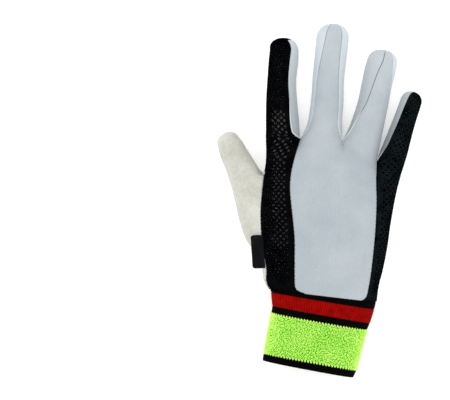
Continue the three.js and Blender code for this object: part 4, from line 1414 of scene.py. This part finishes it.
def loop_shape():
    """One terry loop: a short bent tube standing on the origin, foot to foot along X, top up Z."""
    deselect_all()
    bpy.ops.mesh.primitive_torus_add(
        major_segments=8, minor_segments=3, major_radius=0.42 * MM, minor_radius=0.27 * MM,
        rotation=(math.pi / 2, 0, 0),
    )
    loop = bpy.context.object
    bpy.ops.object.transform_apply(location=False, rotation=True, scale=False)
    edit_mesh()
    bpy.ops.mesh.bisect(plane_co=(0, 0, -0.0001), plane_no=(0, 0, 1), clear_inner=True, use_fill=True)
    set_mode("OBJECT")
    return loop


def stamp(name, shape, places):
    """One mesh with a copy of the shape at every place, each a 4x4 matrix."""
    source = shape.data
    base = np.array([vertex.co for vertex in source.vertices])
    faces = [tuple(polygon.vertices) for polygon in source.polygons]
    points, all_faces = [], []
    for matrix in places:
        matrix = np.array(matrix)
        start = len(points) * len(base)
        points.append(base @ matrix[:3, :3].T + matrix[:3, 3])
        all_faces += [tuple(start + index for index in corners) for corners in faces]
    joined = np.concatenate(points)
    joined[:, 2] = np.maximum(joined[:, 2], FLOOR_GAP)
    piece = mesh_object(name, joined, all_faces)
    piece.data.shade_smooth()
    return piece


def placed(point, along, up, size):
    """Matrix that puts X along, Z up and the origin at a point, with a size on each axis."""
    z = Vector(up).normalized()
    x = Vector(along)
    x = (x - z * x.dot(z)).normalized()
    turn = Matrix((x, z.cross(x), z)).transposed()
    matrix = (turn @ Matrix.Diagonal(size)).to_4x4()
    matrix.translation = Vector(point)
    return matrix


# Terry: distance between loops and between rows, half the bare width at the closing seam, distance between
# the teeth at both edges, and the feet of a tooth's three loops
TERRY_PITCH = 1.08
TERRY_ROW = 1.02
SEAM_HALF = 0.7
TOOTH_PITCH = 2.1
TOOTH = ((-0.45, -0.2), (0.45, -0.2), (0.0, 0.35))

# How much a loop turns, strays and leans at most, how deep its foot lies, and its size
FIELD_LOOP = {"turn": 1.6, "stray": 0.3, "lean": 0.4, "foot": 0.5, "size": (1.0, 1.3), "tall": (0.8, 1.7)}
TOOTH_LOOP = {
    "turn": 0.5, "stray": 0.1, "lean": (0.2, 0.6), "foot": 0.35, "size": (1.05, 1.35), "tall": (1.1, 1.4),
}


def cuff_places(line, pitch, shift):
    """Places round the cuff: how far round, of how much, the point, the way round, and outward."""
    _, _, total = cuff_ring(line, 8)
    count = round(total / pitch)
    ring, outward, total = cuff_ring(line, count)
    for i in range(count):
        around = Vector(ring[(i + 1) % count] - ring[i - 1]).normalized()
        point = Vector(ring[i]) + Vector(SHIFT) + around * shift * total / count
        yield i / count, total, point, around, Vector(outward[i])


def field_loop(point, around, out, chance):
    """A loop in the field, turned and leaning by chance."""

    def stray(most):
        return chance.uniform(-most, most)

    loop = FIELD_LOOP
    down = around.cross(out).normalized()
    turn = stray(loop["turn"])
    point = point + around * stray(loop["stray"]) + down * stray(loop["stray"]) - out * loop["foot"]
    up = (out + down * stray(loop["lean"]) + around * stray(loop["lean"])).normalized()
    direction = around * math.cos(turn) + down * math.sin(turn)
    return placed(point * MM, direction, up, (*loop["size"], chance.uniform(*loop["tall"])))


def edge_tooth(point, around, out, toward, chance):
    """Three loops of a small tooth, which stands over the black knit next to the band."""
    loop = TOOTH_LOOP
    up = Vector((0, toward, 0))
    for across, along in TOOTH:
        across += chance.uniform(-loop["stray"], loop["stray"])
        foot = point + around * across + up * along - out * loop["foot"]
        lean = (out + up * chance.uniform(*loop["lean"])).normalized()
        turned = (up + around * chance.uniform(-loop["turn"], loop["turn"])).normalized()
        yield placed(foot * MM, turned, lean, (*loop["size"], chance.uniform(*loop["tall"])))


def make_terry(material):
    start, end, _ = cuff_ends("cuff_green_band")
    chance = random.Random(11)
    loop = loop_shape()
    loops, teeth = [], []
    rows = round(math.hypot(end[1] - start[1], end[0] - start[0]) / TERRY_ROW)
    for row in range(1, rows):
        line = blend_points(start, end, row / rows)
        for share, total, point, around, out in cuff_places(line, TERRY_PITCH, row % 2 / 2):
            if abs(share - SEAM_COLUMN) * total > SEAM_HALF:
                loops.append(field_loop(point, around, out, chance))
    for line, toward in ((start, 1), (end, -1)):
        for _, _, point, around, out in cuff_places(line, TOOTH_PITCH, 0):
            teeth += edge_tooth(point, around, out, toward, chance)
    dress(stamp("cuff_green_terry", loop, loops), material, "lime_terry")
    dress(stamp("cuff_green_teeth", loop, teeth), material, "lime_terry")
    bpy.data.objects.remove(loop)


# The side label: a strip folded double, its open edge in the seam at the thumb side
LABEL = {
    "low": (-40.4, -46.5, 21.2), "high": (-41.9, -23.6, 24.4), "width": 7.0, "thick": 1.3, "droop": 9,
    "tucked": 1.9, "corner": 1.5, "leaf": 0.36, "wave": 0.18, "wave_pace": 0.55, "cuts": 31,
}


def fold_round(place, straight, radius):
    """A place along the flat strip once it is bent round: how far out it lies, and how high."""
    if place < straight:
        return place, -radius
    past = place - straight
    if past < math.pi * radius:
        angle = past / radius - math.pi / 2
        return straight + radius * math.cos(angle), radius * math.sin(angle)
    return straight - (past - math.pi * radius), radius


def make_label(material):
    deselect_all()
    low, high = Vector(LABEL["low"]), Vector(LABEL["high"])
    depth = (high - low).length
    along = (high - low).normalized()
    droop = LABEL["droop"] * DEGREE
    outward = Vector((-math.cos(droop), 0, -math.sin(droop)))
    outward = (outward - along * outward.dot(along)).normalized()
    up = along.cross(outward)
    bpy.ops.mesh.primitive_plane_add(size=1, location=(0, 0, 0))
    label = bpy.context.object
    label.name = "side_label_fold"
    edit_mesh()
    bpy.ops.mesh.subdivide(number_cuts=LABEL["cuts"])
    set_mode("OBJECT")
    radius = (LABEL["thick"] - LABEL["leaf"]) / 2
    straight = LABEL["width"] - LABEL["thick"] / 2 + LABEL["tucked"]
    run = 2 * straight + math.pi * radius
    for vertex in label.data.vertices:
        side = (vertex.co.y + 0.5) * depth
        out, rise = fold_round((vertex.co.x + 0.5) * run, straight, radius)
        short = max(0.0, 1 - min(side, depth - side) / LABEL["corner"])
        out *= 1 - LABEL["corner"] / straight * (1 - math.sqrt(1 - short ** 2))
        wave = LABEL["wave"] * math.sin(side * LABEL["wave_pace"]) * out / straight
        centre = low + along * side + outward * (out - LABEL["tucked"])
        vertex.co = (centre + up * (LABEL["thick"] / 2 + rise + wave) + Vector(SHIFT)) * MM
    apply_modifier(label, "SOLIDIFY", thickness=LABEL["leaf"] * MM, offset=0)
    soften(label)
    face_out(label)
    dress(label, material, "label_satin", "side_label")


# Seams
def seam_chains(skin, first, second):
    """Runs of points along which two pieces meet, in order."""
    sides = {}
    for corners, piece in zip(skin.faces, skin.pieces):
        for i, a in enumerate(corners):
            sides[(a, corners[(i + 1) % len(corners)])] = piece
    after = {a: b for (a, b), piece in sides.items() if piece == first and sides.get((b, a)) == second}
    ends = set(after.values())
    chains = []
    for start in [a for a in after if a not in ends] or list(after)[:1]:
        chain = [start]
        while chain[-1] in after and after[chain[-1]] != start:
            chain.append(after[chain[-1]])
        if after.get(chain[-1]) == start:
            chain.append(start)
        chains.append(chain)
    return chains


def seam_lines(skin, normals, seams):
    """Points and normals along every run of some seams, each given as the two pieces that meet there."""
    for first, second in seams:
        for chain in seam_chains(skin, first, second):
            yield np.array([skin.points[i] for i in chain]), np.array([normals[i] for i in chain])


def run_way(at, reach, lengths, points):
    """Direction of a run at a length along it, read a little way to both sides."""
    return Vector(read_run(at + reach, lengths, points) - read_run(at - reach, lengths, points)).normalized()


# Where a stitch bends, as a share of its length, how steeply its ends dip, its thickness and height above
# the cloth, how far to both sides its direction is read, the slant of an overlock, the least height above the
# floor, and how far the cloth may face forward
STITCH_BEND = 0.22
STITCH_DIP = 1.6
THREAD = 0.42
STITCH_LIFT = 0.05
STITCH_REACH = 0.6
OVERLOCK_SLANT = 0.45
LEAST_HEIGHT = 0.4
FORWARD = 0.55


def stitch_shape():
    """One stitch: a short thread whose ends dip into the cloth."""
    deselect_all()
    bpy.ops.mesh.primitive_cylinder_add(
        vertices=6, radius=0.5, depth=1, rotation=(0, math.pi / 2, 0), end_fill_type="NGON"
    )
    stitch = bpy.context.object
    bpy.ops.object.transform_apply(location=False, rotation=True, scale=False)
    for bend in (-STITCH_BEND, STITCH_BEND):
        edit_mesh()
        bpy.ops.mesh.bisect(plane_co=(bend, 0, 0), plane_no=(1, 0, 0))
    set_mode("OBJECT")
    for vertex in stitch.data.vertices:
        vertex.co.z -= STITCH_DIP * max(0.0, abs(vertex.co.x) - STITCH_BEND)
    return stitch


def stitch_run(skin, normals, seams, pitch, length, offset, across=False):
    """Matrices of the stitches along some seams, beside them by an offset, or across them as an overlock."""
    places = []
    for points, ups in seam_lines(skin, normals, seams):
        lengths = run_lengths(points)
        count = max(2, round(lengths[-1] / pitch))
        for k in range(count):
            at = lengths[-1] * (k + 0.5) / count
            up = Vector(read_run(at, lengths, ups)).normalized()
            along = run_way(at, STITCH_REACH, lengths, points)
            side = up.cross(along)
            direction = along
            if across:
                direction = (side + along * (OVERLOCK_SLANT if k % 2 else -OVERLOCK_SLANT)).normalized()
            centre = Vector(read_run(at, lengths, points)) + side * offset + up * STITCH_LIFT + Vector(SHIFT)
            if centre.z >= LEAST_HEIGHT and up.y <= FORWARD:
                size = (length * MM, THREAD * MM, THREAD * MM)
                places.append(placed(centre * MM, direction, up, size))
    return places


# Soft rolls: sides of the tube, distance between its rings, and how much a rim thins out to its end
TUBE_SIDES = 8
TUBE_STEP = 0.8
RIM_TAPER = 0.8


def seam_tube(points, ups, radius, taper):
    """A soft roll along a line, thinner towards its far end by its taper."""
    lengths = run_lengths(points)
    count = max(4, round(lengths[-1] / TUBE_STEP))
    rings = []
    for k in range(count + 1):
        at = lengths[-1] * k / count
        point = read_run(at, lengths, points)
        along = run_way(at, TUBE_STEP, lengths, points)
        side = along.cross(Vector(read_run(at, lengths, ups))).normalized()
        out = side.cross(along)
        thin = radius * (1 - taper * (k / count) ** 2)
        for i in range(TUBE_SIDES):
            turn = 2 * math.pi * i / TUBE_SIDES
            rings.append(Vector(point) + (side * math.sin(turn) + out * math.cos(turn)) * thin)
    faces = []
    for low in range(0, count * TUBE_SIDES, TUBE_SIDES):
        high = low + TUBE_SIDES
        for i in range(TUBE_SIDES):
            after = (i + 1) % TUBE_SIDES
            faces.append((low + i, low + after, high + after, high + i))
    faces += [tuple(range(TUBE_SIDES - 1, -1, -1)), tuple(count * TUBE_SIDES + i for i in range(TUBE_SIDES))]
    return rings, faces


def roll_piece(name, tubes, material, slot):
    """One piece of all the soft rolls along its seams."""
    points, faces = [], []
    for rings, ring_faces in tubes:
        faces += [tuple(len(points) + i for i in corners) for corners in ring_faces]
        points += rings
    piece = mesh_object(name, [point * MM for point in points], faces)
    face_out(piece)
    piece.data.shade_smooth()
    dress(piece, material, slot)


# Rims of the crotches: the two pieces, radius, and how far the rim runs up from the crotch to either side
RIMS = (
    ("index_mesh_panel", "fourchette_index_middle", 0.5, 34),
    ("back_panel", "fourchette_index_middle", 0.45, 12),
    ("back_panel", "fourchette_middle_ring", 0.5, 26),
    ("back_panel", "fourchette_ring_little", 0.45, 16),
    ("little_mesh_panel", "fourchette_ring_little", 0.4, 10),
)


def make_rims(skin, normals, material):
    """The folded edges of the knit that stand up round the crotches of the fingers, in the lighter copy of
    the knit: a painted highlight on the rims.
    """
    tubes = []
    for first, second, radius, reach in RIMS:
        for points, ups in seam_lines(skin, normals, ((first, second),)):
            lowest = int(points[:, 1].argmin())
            for way in (slice(lowest, None), slice(lowest, None, -1) if lowest else slice(0, 0)):
                run = points[way] + SHIFT
                if len(run) >= 4:
                    last = int((run_lengths(run) < reach).sum())
                    tubes.append(seam_tube(run[:last], ups[way][:last], radius, RIM_TAPER))
    roll_piece("crotch_rims", tubes, material, "side_knit")


# Seams of the black net, and the raw edges inside the seams: finish, slot, seams, how far in, and radius
NET_SEAMS = (
    ("index_mesh_panel", "back_panel"), ("little_mesh_panel", "back_panel"),
    ("index_mesh_panel", "palm_leather"), ("little_mesh_panel", "palm_leather"),
    ("index_mesh_panel", "thumb_leather"),
)
THUMB_SEAM = (("thumb_leather", "palm_leather"),)
ALLOWANCES = {
    "thumb_seam_allowance": ("suede", "thumb_leather", THUMB_SEAM, 1.6, 1.05),
    "mesh_seam_allowance": ("black_thread", "black_mesh", NET_SEAMS, 0.8, 0.5),
}


def make_allowances(skin, normals, materials):
    """The raw edges that lie inside the seams."""
    for name, (finish, slot, seams, inset, radius) in ALLOWANCES.items():
        lines = seam_lines(skin, normals, seams)
        tubes = [seam_tube(points + SHIFT - ups * inset, ups, radius, 0) for points, ups in lines]
        roll_piece(name, tubes, materials[finish], slot)


# Stitches: finish, slot, and runs of seams, pitch, length, offset and whether they lie across the seam
STITCHES = {
    "mesh_edge_overlock": ("black_thread", "black_mesh", ((NET_SEAMS, 1.5, 1.5, 0.1, True),)),
    "thumb_seam_stitches": (
        "white_thread", "thumb_leather", ((THUMB_SEAM, 2.3, 1.5, 1.3), (THUMB_SEAM, 2.3, 1.5, -1.3)),
    ),
    "finger_seam_stitches": (
        "white_thread", "side_knit", ((tuple((side, "palm_leather") for side in SIDES), 1.8, 1.1, -0.9),),
    ),
}


def make_stitches(skin, normals, materials):
    stitch = stitch_shape()
    for name, (finish, slot, runs) in STITCHES.items():
        places = [place for run in runs for place in stitch_run(skin, normals, *run)]
        dress(stamp(name, stitch, places), materials[finish], slot)
    bpy.data.objects.remove(stitch)


# The stage, in metres: lights as place and power, and the camera, which looks straight down beside the thumb
FLOOR_SIZE = 6
WORLD_STRENGTH = 1.1
LIGHT_SIZE = 1.8
LIGHTS = {"key_light": ((-0.7, 0.7, 1.9), 9.0), "fill_light": ((1.1, -0.6, 1.8), 5.0)}
CAMERA_PLACE = (-0.0651, 0.0002, 2.015)
CAMERA_LENS = {"lens": 232, "sensor_width": 36, "clip_end": 20}


def make_stage():
    deselect_all()
    bpy.ops.mesh.primitive_plane_add(size=FLOOR_SIZE, location=(0, 0, 0))
    floor = bpy.context.object
    floor.name = "floor"
    floor.data.materials.append(floor_material())
    scene = bpy.context.scene
    scene.world = bpy.data.worlds.new("studio")
    scene.world.use_nodes = True
    set_inputs(scene.world.node_tree.nodes["Background"], {"color": (1, 1, 1, 1), "strength": WORLD_STRENGTH})
    for name, (place, power) in LIGHTS.items():
        lamp = bpy.data.lights.new(name, "AREA")
        lamp.shape = "SQUARE"
        lamp.size = LIGHT_SIZE
        lamp.energy = power
        light = bpy.data.objects.new(name, lamp)
        light.location = place
        light.rotation_euler = (-Vector(place)).to_track_quat("-Z", "Y").to_euler()
        scene.collection.objects.link(light)
    camera = bpy.data.objects.new("camera", bpy.data.cameras.new("camera"))
    for key, value in CAMERA_LENS.items():
        setattr(camera.data, key, value)
    camera.location = CAMERA_PLACE
    scene.collection.objects.link(camera)
    scene.camera = camera
    scene.view_settings.view_transform = "Standard"


skin, normals = build_skin()
materials = make_materials()
make_panels(skin, normals, materials)
make_cuff(materials)
make_label(materials["label"])
make_rims(skin, normals, materials["rim"])
make_allowances(skin, normals, materials)
make_stitches(skin, normals, materials)
make_stage()
